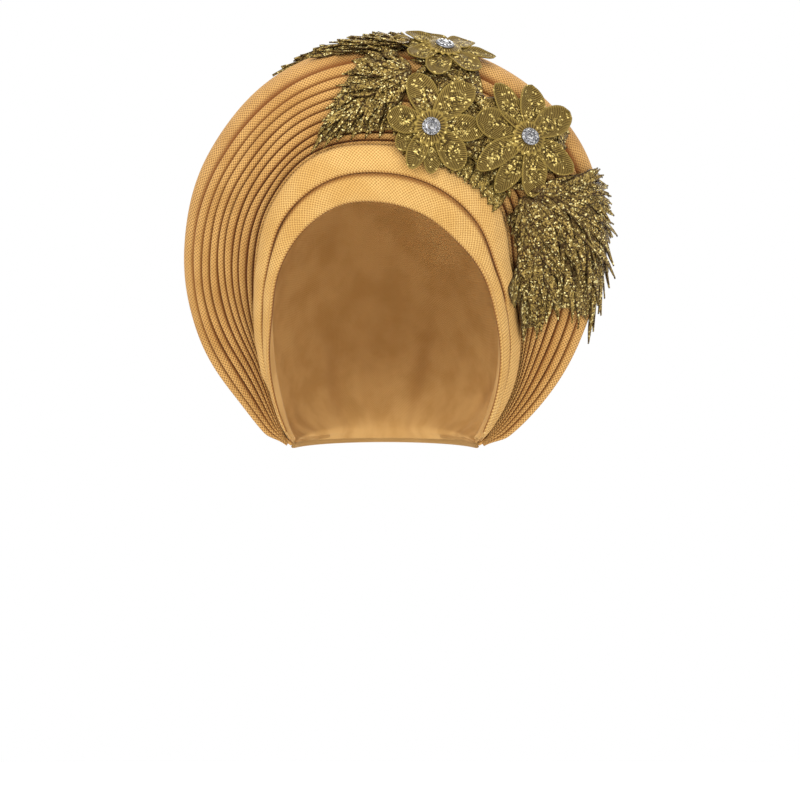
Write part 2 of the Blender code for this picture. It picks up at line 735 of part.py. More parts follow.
def build_ground(collection):
    """The lace under the flowers, raised in leaves from its centre so that they lie on it."""
    tips = np.array(GROUND_EDGE)
    after = np.roll(tips, -1, axis=0)
    notches = GROUND_CENTRE + GROUND_NOTCH * ((tips + after) / 2 - GROUND_CENTRE)
    edge = np.stack([tips, notches], axis=1).reshape(-1, 2)
    ends = np.radians(edge[:, 0])
    end_turns = turn_of(ends, RIM_RISE * edge[:, 1])
    centre = np.radians(GROUND_CENTRE[:1])
    centre_turn = turn_of(centre, np.array([RIM_RISE * GROUND_CENTRE[1]]))
    shares = np.array([0.10, 0.40, 0.70, 1.0])[:, None]
    angles = centre + shares * (ends - centre)
    turns = centre_turn + shares * (end_turns - centre_turn)
    leaf = (1 + np.cos(np.pi * np.arange(len(edge)))) / 2
    relief = BLADE_RISE * leaf * np.array([1.0, 1.0, 1.0, 0.2])[:, None]
    under = lay(angles, turns, np.full(angles.shape, lace_height(1)))
    over = lay(angles, turns, lace_height(1) + LACE_WALL + relief)
    return add_object("lace_ground", disc_mesh("lace_ground", over, under), "gold lace", collection)


def build_flower(name, collection):
    """Eight rounded petals round one centre, cupped along their edges, and fused into one body."""
    angle, radius, tier, turn, _ = FLOWERS[name]
    round_ = np.linspace(0, 2 * np.pi, PETAL_STEPS * FLOWER_PETALS, endpoint=False)
    petal = round_ * FLOWER_PETALS / (2 * np.pi)
    number = np.floor(petal + 0.5).astype(int) % FLOWER_PETALS
    off = np.abs(petal - np.floor(petal + 0.5)) * 2
    reach = np.array(PETAL_REACH)[number] * (1 - PETAL_NOTCH * off**2.2)
    shares = np.array([0.12, 0.55, 1.0])[:, None]
    distance = FLOWER_RADIUS * shares * (1 + (reach - 1) * shares)
    heading = round_ + math.radians(turn)
    centre_angle, centre_radius = math.radians(angle), radius * RIM_RISE
    centre_turn = turn_of(np.array([centre_angle]), np.array([centre_radius]))[0]
    angles = centre_angle + distance * np.sin(heading) / centre_radius
    turns = centre_turn + distance * np.cos(heading) / fan_reach(angles)
    base = lace_height(tier) + PETAL_CUP * shares**2 * (0.35 + 0.65 * off**1.5)
    under = lay(angles, turns, base)
    over = lay(angles, turns, base + PETAL_WALL)
    return add_object(f"flower_{name}", disc_mesh(f"flower_{name}", over, under), "gold lace", collection)


def fan_reach(angles):
    """Mean radius of the fan's quarter ellipse, which turns a length along it into an angle of turn."""
    flat_angles = angles.ravel()
    start, rim = fan_start(flat_angles), rim_curve(flat_angles)
    wide, deep = rim[:, 0] - start[:, 0], rim[:, 1] - start[:, 1]
    return np.sqrt((wide**2 + deep**2) / 2).reshape(angles.shape)


def disc_mesh(name, over, under):
    """A closed disc with a scalloped edge, from rings of points over and under it."""
    rings, steps = over.shape[:2]
    count = rings * steps
    top = np.arange(count).reshape(rings, steps)
    top = np.concatenate([top, top[:, :1]], axis=1)
    low = top + count
    faces = []
    for row in range(rings - 1):
        faces += strip_faces(top[row].tolist(), top[row + 1].tolist())
        faces += strip_faces(low[row].tolist(), low[row + 1].tolist())
    faces += strip_faces(top[-1].tolist(), low[-1].tolist())
    faces.append(top[0, :-1].tolist())
    faces.append(low[0, :-1].tolist())
    return closed_mesh(name, np.concatenate([over.reshape(-1, 3), under.reshape(-1, 3)]), faces)


# Rhinestone clusters


def add_stone(shape, x, y, radius, sides):
    """A cut stone: a low cone with a flat table, its girdle sunk into the setting."""
    turn = Matrix.Translation((x, y, SETTING_HEIGHT + 0.1 * radius))
    bmesh.ops.create_cone(shape, cap_ends=True, segments=sides, radius1=radius, radius2=0.55 * radius,
                          depth=0.9 * radius, matrix=turn)


def build_rhinestones(name, collection, cutters):
    """A low round setting with a ring of cut stones round a larger one."""
    angle, radius, tier, _, stand_off = FLOWERS[name]
    angles, radii = np.array([math.radians(angle)]), np.array([radius * RIM_RISE])
    turns = turn_of(angles, radii)
    flat, normal = fan_profile(angles, turns)
    height = lace_height(tier) + PETAL_WALL + stand_off
    centre = in_space(angles, flat + normal * height)[0]
    out = in_space(angles, normal)[0] + np.array([0.0, 0.0, FAN_CENTRE_DROP])
    place = Matrix.Translation(centre) @ Vector(out).to_track_quat("Z", "Y").to_matrix().to_4x4()

    shape = bmesh.new()
    bmesh.ops.create_cone(shape, cap_ends=True, segments=16, radius1=STONE_CLUSTER_RADIUS,
                          radius2=0.93 * STONE_CLUSTER_RADIUS, depth=SETTING_HEIGHT,
                          matrix=Matrix.Translation((0, 0, SETTING_HEIGHT / 2)))
    mesh = bpy.data.meshes.new(f"rhinestones_{name}")
    shape.to_mesh(mesh)
    shape.free()
    setting = add_object(f"rhinestones_{name}", mesh, "rhinestone", collection)

    shape = bmesh.new()
    add_stone(shape, 0.0, 0.0, CENTRE_STONE_RADIUS, 10)
    ring = STONE_CLUSTER_RADIUS - 1.25 * RING_STONE_RADIUS
    for step in range(RING_STONES):
        around = 2 * math.pi * step / RING_STONES
        add_stone(shape, ring * math.cos(around), ring * math.sin(around), RING_STONE_RADIUS, 8)
    mesh = bpy.data.meshes.new(f"stones_{name}")
    shape.to_mesh(mesh)
    shape.free()
    stones = add_object(f"stones_{name}", mesh, "rhinestone", cutters)
    stones.hide_render = True
    stones.display_type = "WIRE"

    for obj in (setting, stones):
        obj.matrix_world = place
    fuse = setting.modifiers.new("stones", "BOOLEAN")
    fuse.operation = "UNION"
    fuse.object = stones
    fuse.solver = "EXACT"
    setting.data.set_sharp_from_angle(angle=math.radians(30))
    return setting


def main():
    for obj in list(bpy.data.objects):
        bpy.data.objects.remove(obj)
    collection = bpy.data.collections.new("tied_gele_head_tie")
    cutters = bpy.data.collections.new("cutters")
    bpy.context.scene.collection.children.link(collection)
    bpy.context.scene.collection.children.link(cutters)
    build_cap(collection)
    build_nape_band(collection)
    build_strips(collection)
    build_fan(collection)
    build_wrap(collection)
    for name in SPRAY_BLADES:
        build_spray(name, collection)
    build_edging(collection)
    build_ground(collection)
    for name in FLOWERS:
        build_flower(name, collection)
        build_rhinestones(name, collection, cutters)


main()
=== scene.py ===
"""Looks of a tied gele head tie: gold openwork cloth in a fan of rolled pleats round two folded brow strips,
with olive-gold glitter lace, three raised lace flowers and their rhinestone clusters.

Metres, +Z up, the front faces -Y. Curves round the face go by their angle from straight up, negative on the
-X side, and by their radius about the fan's centre in the front view: (radius, y) at an angle is a point.
"""

import math

import bmesh
import bpy
import numpy as np
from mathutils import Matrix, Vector


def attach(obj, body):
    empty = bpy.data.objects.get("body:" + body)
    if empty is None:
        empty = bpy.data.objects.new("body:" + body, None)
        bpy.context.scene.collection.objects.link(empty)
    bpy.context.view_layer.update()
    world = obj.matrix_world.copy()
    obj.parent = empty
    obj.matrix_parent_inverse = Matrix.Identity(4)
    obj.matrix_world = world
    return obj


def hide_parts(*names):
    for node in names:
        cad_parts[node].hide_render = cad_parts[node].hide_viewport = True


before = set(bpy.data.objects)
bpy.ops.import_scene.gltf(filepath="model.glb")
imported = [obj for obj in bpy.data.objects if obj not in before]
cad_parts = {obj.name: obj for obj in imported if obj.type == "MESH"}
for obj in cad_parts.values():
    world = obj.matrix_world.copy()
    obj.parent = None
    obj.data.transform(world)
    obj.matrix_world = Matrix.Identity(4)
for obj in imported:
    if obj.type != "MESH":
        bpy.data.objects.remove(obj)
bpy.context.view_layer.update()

# Sizes shared with the solids
HEAD_WIDTH = 0.142
HEAD_BACK = 0.094
BROW_FRONT = 0.095
JAW_DROP = 0.176
NAPE_BACK = 0.064
NAPE_RISE = 0.012
NECK_HALF = 0.052
FAN_CENTRE_DROP = 0.0928
RIM_RISE = 0.1495
CORNER_ANGLE = math.radians(147)
FOLD_FRONT = 0.0975
BAND_FRONT = 0.090
RIM_FRONT = 0.020
FACE_CORNER_Y = 0.000
FOLD_CORNER_Y = 0.004
BAND_CORNER_Y = 0.009
CAP_CORNER_Y = 0.008
RIM_CORNER_Y = 0.024
PANEL_FROM = math.radians(76)
UPPER_TO = math.radians(96)
UPPER_FROM = math.radians(-128)
CAP_WALL = 0.0018
LOWER_WALL = 0.0026
UPPER_WALL = 0.0030
PANEL_WALL = 0.0016
WRAP_WALL = 0.0020
FAN_WALL = 0.0016
STRIP_CROWN = 0.0014
STRIP_TUCK = 0.0040
NAPE_BAND_HEIGHT = 0.0115
NAPE_BAND_WALL = 0.0024
GAP = 0.0003
CAP_EASE = 0.0012
CAP_TUCK = 0.0006
PLEAT_RISE = 0.0034
FAN_SET_BACK = 0.0045
FAN_TUCK = 0.0030
WRAP_BACK = 0.108
WRAP_TOP_WIDTH = 0.232
LACE_WALL = 0.0010
BLADE_RISE = 0.0009
LEAN_OFF = 1.2
PETAL_WALL = 0.0010

# The four outline curves: the angle in degrees, then radii as shares of RIM_RISE.
OUTLINES = np.array((
    # angle, face,  fold,  band,  rim
    (-147, 0.664, 0.670, 0.678, 0.700),
    (-125, 0.546, 0.558, 0.572, 0.688),
    (-100, 0.455, 0.492, 0.518, 0.735),
    (-75, 0.431, 0.480, 0.520, 0.802),
    (-50, 0.415, 0.510, 0.576, 0.888),
    (-25, 0.401, 0.512, 0.620, 0.965),
    (0, 0.372, 0.492, 0.598, 1.000),
    (25, 0.358, 0.481, 0.588, 1.006),
    (50, 0.359, 0.470, 0.575, 0.974),
    (75, 0.396, 0.457, 0.510, 0.876),
    (100, 0.445, 0.500, 0.545, 0.775),
    (125, 0.546, 0.582, 0.616, 0.724),
    (147, 0.664, 0.670, 0.678, 0.700),
))

# Where the ten pleats meet, by angle in degrees, as shares of the way from the band to the rim, seen in
# front.
PLEAT_LINES = np.array((
    # angle, line 1 to line 9
    (-147, 0.02, 0.05, 0.09, 0.15, 0.24, 0.35, 0.48, 0.64, 0.82),
    (-138, 0.01, 0.02, 0.04, 0.07, 0.12, 0.24, 0.40, 0.60, 0.83),
    (-120, 0.01, 0.02, 0.04, 0.07, 0.145, 0.275, 0.43, 0.62, 0.85),
    (-105, 0.03, 0.07, 0.14, 0.22, 0.32, 0.44, 0.58, 0.72, 0.87),
    (-90, 0.06, 0.14, 0.24, 0.34, 0.44, 0.54, 0.66, 0.77, 0.885),
    (-70, 0.08, 0.174, 0.30, 0.38, 0.487, 0.57, 0.668, 0.76, 0.872),
    (-40, 0.078, 0.15, 0.23, 0.33, 0.42, 0.50, 0.60, 0.69, 0.805),
    (0, 0.07, 0.15, 0.24, 0.34, 0.44, 0.53, 0.62, 0.71, 0.82),
    (40, 0.07, 0.15, 0.24, 0.34, 0.44, 0.53, 0.62, 0.72, 0.83),
    (80, 0.06, 0.14, 0.23, 0.33, 0.43, 0.54, 0.65, 0.75, 0.86),
    (105, 0.03, 0.06, 0.12, 0.20, 0.30, 0.42, 0.55, 0.70, 0.85),
    (120, 0.02, 0.04, 0.07, 0.12, 0.20, 0.31, 0.46, 0.64, 0.82),
    (147, 0.02, 0.05, 0.09, 0.15, 0.24, 0.35, 0.48, 0.64, 0.82),
))

# One rolled pleat: the place across it, its height as a share of the rise, and how open to light it is.
# The open column of this table and the next is painted into the cloth's colour as shade.
PLEAT_ROLL = np.array((
    # across, height, open
    (0.00, -0.40, 0.00),
    (0.07, -0.20, 0.00),
    (0.15, 0.14, 0.00),
    (0.25, 0.44, 0.28),
    (0.37, 0.68, 0.70),
    (0.50, 0.86, 1.00),
    (0.64, 0.97, 1.00),
    (0.78, 1.00, 1.00),
    (0.90, 0.93, 0.88),
    (0.99, 0.74, 0.48),
    (1.04, 0.48, 0.10),
    (1.02, 0.20, 0.00),
    (0.98, -0.10, 0.00),
))
OUTER_ROLL = np.array((
    # across, height, open
    (0.00, -0.40, 0.00),
    (0.05, -0.10, 0.00),
    (0.10, 0.25, 0.05),
    (0.18, 0.56, 0.45),
    (0.30, 0.82, 0.95),
    (0.42, 0.95, 1.00),
    (0.56, 1.00, 1.00),
    (0.70, 0.97, 1.00),
    (0.82, 0.86, 1.00),
    (0.91, 0.62, 0.95),
    (0.97, 0.30, 0.80),
    (1.00, 0.00, 0.60),
    (1.01, -0.35, 0.35),
))

# Rows of the cap from the face edge to the nape: how far the row keeps the face edge's own outline, its apex
# as shares of the brow's front or the head's back, and of the jaw drop, and its width as a share of the
# head's.
CAP_ROWS = np.array((
    # keep, depth, drop, width
    (1.00, -0.93, -0.215, 0.92),
    (0.55, -0.84, -0.120, 0.96),
    (0.20, -0.62, -0.045, 0.99),
    (0.00, -0.32, -0.008, 1.00),
    (0.00, 0.02, -0.000, 1.00),
    (0.00, 0.42, -0.040, 1.00),
    (0.00, 0.76, -0.175, 0.99),
    (0.00, 0.96, -0.380, 0.97),
    (0.00, 0.98, -0.580, 0.91),
    (0.00, 0.80, -0.800, 0.82),
))

# Rows of the back wrap from the rim to the nape: how far the row keeps the rim's own outline, its apex as
# shares of the wrap's back and, about the jaw, of the height from jaw to rim, its width and its gathers.
WRAP_ROWS = np.array((
    # keep, depth, rise, width, gather
    (1.00, -0.18, 0.985, 1.00, 0.05),
    (0.86, 0.10, 0.985, 0.99, 0.15),
    (0.66, 0.38, 0.930, 0.97, 0.35),
    (0.45, 0.66, 0.800, 0.93, 0.6),
    (0.26, 0.87, 0.610, 0.88, 0.8),
    (0.12, 0.98, 0.410, 0.80, 1.0),
    (0.04, 0.96, 0.240, 0.70, 1.1),
    (0.00, 0.82, 0.120, 0.59, 1.0),
    (0.00, 0.70, 0.055, 0.50, 0.8),
))

# How much of a length along y the weave counts on the fan and the strips: below 1 it is drawn out where the
# cloth turns away to the side.
WEAVE_DEPTH = 0.4
# The fan, the strips and the panel run this far towards the jaw corners.
FAN_END = 0.992
STRIP_END = 0.994

# Seeds of the uneven waves and of the draws
SEED = 21
LACE_SEED = SEED + 30
PLEAT_SEED = SEED + 40
STRIP_SEED = SEED + 60
CAP_SEED = SEED + 70
WRAP_SEED = SEED + 80
NAPE_SEED = SEED + 90


# Curves and the fan's smooth surface, as in the solids


def joined(*parts):
    """Numbers side by side as the last axis, each spread to the shape that they all share."""
    return np.stack(np.broadcast_arrays(*parts), axis=-1)


def smooth(known, values, at):
    """Values at these places, through the known ones by a cubic whose slope at each is their mean slope."""
    known, values, at = np.asarray(known, float), np.asarray(values, float), np.asarray(at, float)
    slopes = np.gradient(values, known)
    low = np.clip(np.searchsorted(known, at) - 1, 0, len(known) - 2)
    span = known[low + 1] - known[low]
    t = (at - known[low]) / span
    start = (1 + 2 * t) * (1 - t) ** 2 * values[low] + t * (1 - t) ** 2 * span * slopes[low]
    end = t**2 * (3 - 2 * t) * values[low + 1] + t**2 * (t - 1) * span * slopes[low + 1]
    return start + end


def climb(angles, power):
    """0 at the jaw corners and 1 straight up, the sine of the way along the arc to a power."""
    return np.sin(np.pi * (angles + CORNER_ANGLE) / (2 * CORNER_ANGLE)).clip(0) ** power


def outline(angles, column, corner, front, power):
    """(radius, y) of an outline curve: its radius by the table, and y from the corner forward to the brow."""
    radius = smooth(np.radians(OUTLINES[:, 0]), OUTLINES[:, column] * RIM_RISE, angles)
    return joined(radius, corner - (front + corner) * climb(angles, power))


def face_curve(angles):
    """The lower strip's edge at the face."""
    return outline(angles, 1, FACE_CORNER_Y, BROW_FRONT, 1.0)


def fold_curve(angles):
    """The fold line between the two strips."""
    return outline(angles, 2, FOLD_CORNER_Y, FOLD_FRONT, 1.25)


def band_curve(angles):
    """The upper strip's edge at the pleats."""
    return outline(angles, 3, BAND_CORNER_Y, BAND_FRONT, 1.7)


def rim_curve(angles):
    """The tie's outline in the front view, less half the rise of a pleat."""
    return outline(angles, 4, RIM_CORNER_Y, RIM_FRONT, 1.0) - np.array([0.5 * PLEAT_RISE, 0.0])


def across(start, end):
    """Unit vectors from start to end in the (radius, y) plane, and those at a right angle, to the front."""
    along = end - start
    along = along / np.linalg.norm(along, axis=-1, keepdims=True)
    return along, joined(along[..., 1], -along[..., 0])


def slim(angles):
    """How thick the cloth lies, as a share: pressed thinner where all the folds meet at the jaw corners."""
    return (0.4 + 0.6 * climb(angles, 0.6))[..., None]


def in_space(angles, flat):
    """Points of the tie from angles and (radius, y)."""
    radius, y = flat[..., 0], flat[..., 1]
    return joined(radius * np.sin(angles), y, radius * np.cos(angles) - FAN_CENTRE_DROP)


def fan_start(angles):
    """Where the fan starts, tucked in behind the upper strip's edge."""
    back = np.array([-FAN_TUCK, UPPER_WALL + FAN_SET_BACK])
    return band_curve(angles) + slim(angles) * back + np.array([0.0, GAP])


def fan_profile(angles, turn):
    """The surface under the pleats: a quarter of an ellipse from the band to the rim as turn goes from 0 to a
    quarter turn. Gives its (radius, y) and the outward unit normal there."""
    start, rim = fan_start(angles), rim_curve(angles)
    wide, deep = rim[..., 0] - start[..., 0], rim[..., 1] - start[..., 1]
    flat = joined(start[..., 0] + wide * np.sin(turn), start[..., 1] + deep * (1 - np.cos(turn)))
    normal = joined(deep * np.sin(turn), -wide * np.cos(turn))
    return flat, normal / np.linalg.norm(normal, axis=-1, keepdims=True)


def fan_reach(angles):
    """Mean radius of the fan's quarter ellipse, which turns a length along it into an angle of turn."""
    start, rim = fan_start(angles), rim_curve(angles)
    return np.sqrt(((rim - start) ** 2).sum(axis=-1) / 2)


def scale_at(places):
    """Metres on the fan's surface for a radian of angle and for one of turn, at these places."""
    flat, _ = fan_profile(places[..., 0], places[..., 1].clip(0, math.pi / 2))
    return joined(flat[..., 0], fan_reach(places[..., 0]))


def turn_of(angles, radius):
    """The quarter ellipse's turn at which the fan has this radius. Past the rim it goes on by the length."""
    start, rim = fan_start(angles), rim_curve(angles)
    share = (radius - start[..., 0]) / (rim[..., 0] - start[..., 0])
    return np.arcsin(share.clip(-0.3, 1.0)) + (radius - rim[..., 0]).clip(0) / fan_reach(angles)


def lace_height(tier):
    """Height of a tier's underside over the fan's smooth surface. Tier 1 lies on the pleats."""
    return PLEAT_RISE + 2 * GAP + (tier - 1) * (LACE_WALL + BLADE_RISE + GAP)


def over_band(angles, flat, height):
    """The same points, brought forward where they would lie in the upper strip instead of on it."""
    fold, band = fold_curve(angles), band_curve(angles)
    slope = (band[..., 1] - fold[..., 1]) / (band[..., 0] - fold[..., 0])
    past = flat[..., 0] - band[..., 0]
    front = band[..., 1] + np.where(past < 0, slope * past, LEAN_OFF * past)
    clear = front - STRIP_CROWN - 2 * GAP - (height - lace_height(1))
    return joined(flat[..., 0], np.minimum(flat[..., 1], clear))


def lay(angles, turns, height):
    """Points this high over the fan by angle and turn. Past the rim the surface runs straight back."""
    past = (turns - math.pi / 2).clip(0)
    flat, normal = fan_profile(angles, turns.clip(-0.4, math.pi / 2))
    flat = flat + joined(-0.18 * past**2, past) * fan_reach(angles)[..., None]
    flat = over_band(angles, flat + normal * height[..., None], height)
    return in_space(angles, flat)


def ease_in(values, low, high):
    """0 below low and 1 above high, with a smooth step between."""
    t = ((values - low) / (high - low)).clip(0, 1)
    return t * t * (3 - 2 * t)


def ripple(places, waves, seed):
    """A soft uneven wave between about -1 and 1: the mean of sines of several seeded lengths and shifts."""
    draw = np.random.default_rng(seed)
    total = 0 * places
    for wave in waves:
        total = total + np.sin(2 * np.pi * (wave * places + draw.random()))
    return total / len(waves)


# Meshes


def numbered(rows, columns, first=0):
    """A grid of point numbers, row after row."""
    return first + np.arange(rows * columns).reshape(rows, columns)


def quads_of(index):
    """Quads of a grid of point numbers, row after row."""
    corners = [index[:-1, :-1], index[:-1, 1:], index[1:, 1:], index[1:, :-1]]
    return np.stack(corners, axis=-1).reshape(-1, 4).tolist()


def many_grids(count, rows, columns):
    """Quads of many grids of one size, each with its own points."""
    one = np.array(quads_of(numbered(rows, columns)))
    return (one + (np.arange(count) * rows * columns)[:, None, None]).reshape(-1, 4).tolist()


def tube_faces(rings, columns):
    """Faces of a closed tube: its rings of points run down the columns, and both its ends are closed."""
    index = numbered(rings, columns)
    return quads_of(np.concatenate([index, index[:1]])) + [index[:, 0].tolist(), index[:, -1].tolist()]


def new_piece(name, points, faces, finish, node, cloth=None, marks=None, closed=True, flat=False):
    """A piece of the tie from its points and faces. cloth gives each point its place on the flat cloth in
    metres, as the UV map weave, and marks gives it numbers that the finish reads. A closed body's faces are
    turned outward together, and an open sheet's all at once, away from the head's middle."""
    mesh = bpy.data.meshes.new(name)
    mesh.from_pydata(points.reshape(-1, 3).tolist(), [], faces)
    if closed:
        shape = bmesh.new()
        shape.from_mesh(mesh)
        bmesh.ops.recalc_face_normals(shape, faces=shape.faces)
        shape.to_mesh(mesh)
        shape.free()
    else:
        normals, centres = np.zeros((2, 3 * len(mesh.polygons)))
        mesh.polygons.foreach_get("normal", normals)
        mesh.polygons.foreach_get("center", centres)
        away = centres.reshape(-1, 3) - np.array([0.0, 0.04, -0.5 * JAW_DROP])
        if (normals.reshape(-1, 3) * away).sum() < 0:
            mesh.flip_normals()
    if cloth is not None:
        corner = np.zeros(len(mesh.loops), int)
        mesh.loops.foreach_get("vertex_index", corner)
        layer = mesh.uv_layers.new(name="weave")
        layer.data.foreach_set("uv", cloth.reshape(-1, 2)[corner].ravel())
    for mark, values in (marks or {}).items():
        layer = mesh.attributes.new(mark, "FLOAT", "POINT")
        layer.data.foreach_set("value", values.ravel())
    mesh.materials.append(finish)
    if not flat:
        mesh.shade_smooth()
    obj = bpy.data.objects.new(name, mesh)
    bpy.context.scene.collection.objects.link(obj)
    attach(obj, "root")
    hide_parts(node)
    return obj


def thicken(piece, thickness):
    """A thin wall under the sheet, closed round its edge."""
    solid = piece.modifiers.new("thickness", "SOLIDIFY")
    solid.thickness = thickness
    solid.offset = -1.0


def wall(outer, inner):
    """Points and faces of a closed wall between two grids that share their columns and may differ in rows."""
    top = numbered(*outer.shape[:2])
    under = numbered(*inner.shape[:2], top.size)
    faces = quads_of(top) + quads_of(under)
    for row in (0, -1):
        faces += quads_of(np.stack([top[row], under[row]]))
    for side in (0, -1):
        faces.append(top[:, side].tolist() + under[::-1, side].tolist())
    return np.concatenate([outer.reshape(-1, 3), inner.reshape(-1, 3)]), faces


def draw_together(grids, angles, reach, hold):
    """Grids of rows by angle, drawn towards their common middle over the last stretch before the corners."""
    middle = np.concatenate(grids).mean(axis=0, keepdims=True)
    near = hold * ease_in(np.abs(angles), CORNER_ANGLE - reach, CORNER_ANGLE)[None, :, None]
    return [grid + (middle - grid) * near for grid in grids]


def lengths_along(grid, axis, depth=1.0):
    """Length run along each row or column of a grid of points, from its start. Depth weighs its share along
    y."""
    steps = np.linalg.norm(np.diff(grid, axis=axis) * np.array([1.0, depth, 1.0]), axis=-1)
    pad = [(0, 0), (0, 0)]
    pad[axis] = (1, 0)
    return np.pad(np.cumsum(steps, axis=axis), pad)


def centred(lengths):
    """The same lengths along each row, counted from the row's middle."""
    return lengths - lengths[:, lengths.shape[1] // 2][:, None]


def draped_weave(grid):
    """The weave on a sheet whose rows draw together at both ends: each column keeps its place along the
    middle row and each row its place down the middle column. Gives those places, and how much of its full
    size the weave has left at each point."""
    along, down = lengths_along(grid, 1), lengths_along(grid, 0)
    row, column = grid.shape[0] // 2, grid.shape[1] // 2
    full_along, full_down = centred(along[row:row + 1]), down[:, column:column + 1]
    left = np.gradient(along, axis=1) / np.gradient(full_along, axis=1)
    left = left * np.gradient(down, axis=0) / np.gradient(full_down, axis=0)
    return joined(full_along, full_down).reshape(-1, 2), left.clip(0, 1).ravel()


def draped_piece(name, node, finish, outer, inner, lit, fade):
    """A closed wall of draped cloth. lit gives, for each of its two faces, how open to light it is, which the
    finish paints as shade, and where the weave runs narrow it fades by this share."""
    points, faces = wall(outer, inner)
    cloth, left = zip(*[draped_weave(grid) for grid in (outer, inner)])
    marks = {"open": np.concatenate([np.broadcast_to(face, grid.shape[:2]).ravel()
                                     for face, grid in zip(lit, (outer, inner))]),
             "faint": 1 - fade * np.concatenate(left)}
    return new_piece(name, points, faces, finish, node, np.concatenate(cloth), marks)


def normals_of(grid):
    """Unit normals of a grid of points, from its differences along and across, away from the hollow's
    middle."""
    normal = np.cross(np.gradient(grid, axis=0), np.gradient(grid, axis=1))
    normal /= np.linalg.norm(normal, axis=-1, keepdims=True) + 1e-12
    middle = np.array([0.0, 0.0, -0.5 * JAW_DROP])
    turned = np.sign((normal * (grid - middle)).sum(axis=-1, keepdims=True))
    return normal * np.where(turned == 0, 1, turned)


# Finishes


class Finish:
    """A procedural material in the making: its shader, and the nodes that feed it."""

    def __init__(self, name, roughness, metallic=0.0, sheen=0.0, gloss=0.5):
        self.material = bpy.data.materials.new(name)
        self.material.use_nodes = True
        self.tree = self.material.node_tree
        self.shader = self.tree.nodes["Principled BSDF"]
        self.feed(self.shader, {"Roughness": roughness, "Metallic": metallic, "Sheen Weight": sheen,
                                "Specular IOR Level": gloss})

    def feed(self, node, inputs):
        """Gives a node's inputs their values, or links them to the sockets that feed them."""
        for key, value in inputs.items():
            if isinstance(value, bpy.types.NodeSocket):
                self.tree.links.new(value, node.inputs[key])
            else:
                node.inputs[key].default_value = value

    def node(self, kind, inputs=None, **settings):
        """Outputs of a new node with these inputs and settings."""
        made = self.tree.nodes.new("ShaderNode" + kind)
        for key, value in settings.items():
            setattr(made, key, value)
        self.feed(made, inputs or {})
        return made.outputs

    def sum(self, operation, *values):
        """The outcome of one step of arithmetic."""
        return self.node("Math", dict(enumerate(values)), operation=operation)[0]

    def times(self, first, second):
        """The product of two numbers."""
        return self.sum("MULTIPLY", first, second)

    def wave(self, value, length):
        """A sine wave of this length."""
        return self.sum("SINE", self.times(value, 2 * math.pi / length))

    def step(self, value, low, high, start=0.0, end=1.0):
        """A smooth step of the value from start at low to end at high."""
        inputs = {"Value": value, "From Min": low, "From Max": high, "To Min": start, "To Max": end}
        return self.node("MapRange", inputs, interpolation_type="SMOOTHSTEP")[0]

    def blend(self, share, *colours):
        """A colour this share of the way from the first to the second."""
        first, second = ((*colour, 1.0) if isinstance(colour, tuple) else colour for colour in colours)
        return self.node("Mix", {0: share, 6: first, 7: second}, data_type="RGBA", clamp_factor=True)[2]

    def mark(self, name):
        """The piece's own number of this name at each point."""
        return self.node("Attribute", attribute_name=name)["Fac"]

    def places(self):
        """Places in metres in the object's own frame."""
        return self.node("TexCoord")["Object"]

    def weave(self):
        """Places on the flat cloth in metres, and the two lengths in them."""
        places = self.node("UVMap", uv_map="weave")["UV"]
        split = self.node("SeparateXYZ", {0: places})
        return places, split[0], split[1]

    def noise(self, places, scale, detail=2.0):
        """Soft uneven noise between 0 and 1."""
        return self.node("TexNoise", {"Vector": places, "Scale": scale, "Detail": detail})["Fac"]

    def cells(self, places, scale):
        """Uneven cells: how far each place is from its cell's middle, and three numbers drawn for each."""
        made = self.node("TexVoronoi", {"Vector": places, "Scale": scale})
        return made["Distance"], self.node("SeparateColor", {0: made["Color"]})

    def done(self, colour, height=None, strength=0.0, depth=0.0):
        """The material in this colour, with this height as its bump."""
        self.feed(self.shader, {"Base Color": colour})
        if height is not None:
            bump = self.node("Bump", {"Strength": strength, "Distance": depth, "Height": height})
            self.feed(self.shader, {"Normal": bump[0]})
        return self.material


# The colour of painted shade, in the cloth's valleys, fold turns and creases.
PAINTED_SHADE_COLOUR = (0.185, 0.052, 0.006)


def openwork_cloth(name, light, deep, pit, pitch, pit_depth):
    """Matte openwork cloth: raised threads round small reddish pits, with painted shade, a deep reddish
    brown, laid over it where the mark open says that a fold closes, so that the crests of its folds stay
    paler. The pits are the product of two sine waves along both diagonals of the cloth, made uneven by a
    little noise: 0 on the threads, 1 in a pit. The mark faint fades them, and the mark hem says where a row
    of dots runs along the cloth, a sine wave too."""
    make = Finish(name, 0.82, sheen=0.04, gloss=0.15)
    places, along, over = make.weave()
    uneven = make.sum("MULTIPLY_ADD", make.noise(places, 260.0), 0.5 * pitch, -0.25 * pitch)
    shifted = make.sum("ADD", along, uneven)
    waves = [make.wave(make.sum(way, shifted, over), 2 * pitch) for way in ("ADD", "SUBTRACT")]
    cells = make.sum("ABSOLUTE", make.times(*waves))
    clear = make.sum("SUBTRACT", 1.0, make.mark("faint"))
    colour = make.blend(make.step(make.noise(places, 38.0, 3.0), 0.35, 0.68), light, deep)
    threads = make.times(make.step(cells, 0.0, 0.22, 0.0, 0.25), clear)
    colour = make.blend(threads, colour, deep)
    pits = make.times(make.step(cells, 0.42, 0.85), clear)
    colour = make.blend(make.times(pits, pit_depth), colour, pit)
    dots = make.step(make.wave(along, pitch), 0.0, 0.6)
    hem = make.times(make.step(make.mark("hem"), 0.30, 0.75), dots)
    colour = make.blend(make.times(hem, 0.85), colour, pit)
    # Painted shade: the colour darkens to the shade colour as the mark open falls.
    shade = make.step(make.mark("open"), 0.0, 0.8, 1.0, 0.0)
    colour = make.blend(make.times(shade, 0.93), colour, PAINTED_SHADE_COLOUR)
    return make.done(colour, make.times(make.step(cells, 0.15, 0.8, 1.0, 0.0), clear), 0.75, 0.0007)


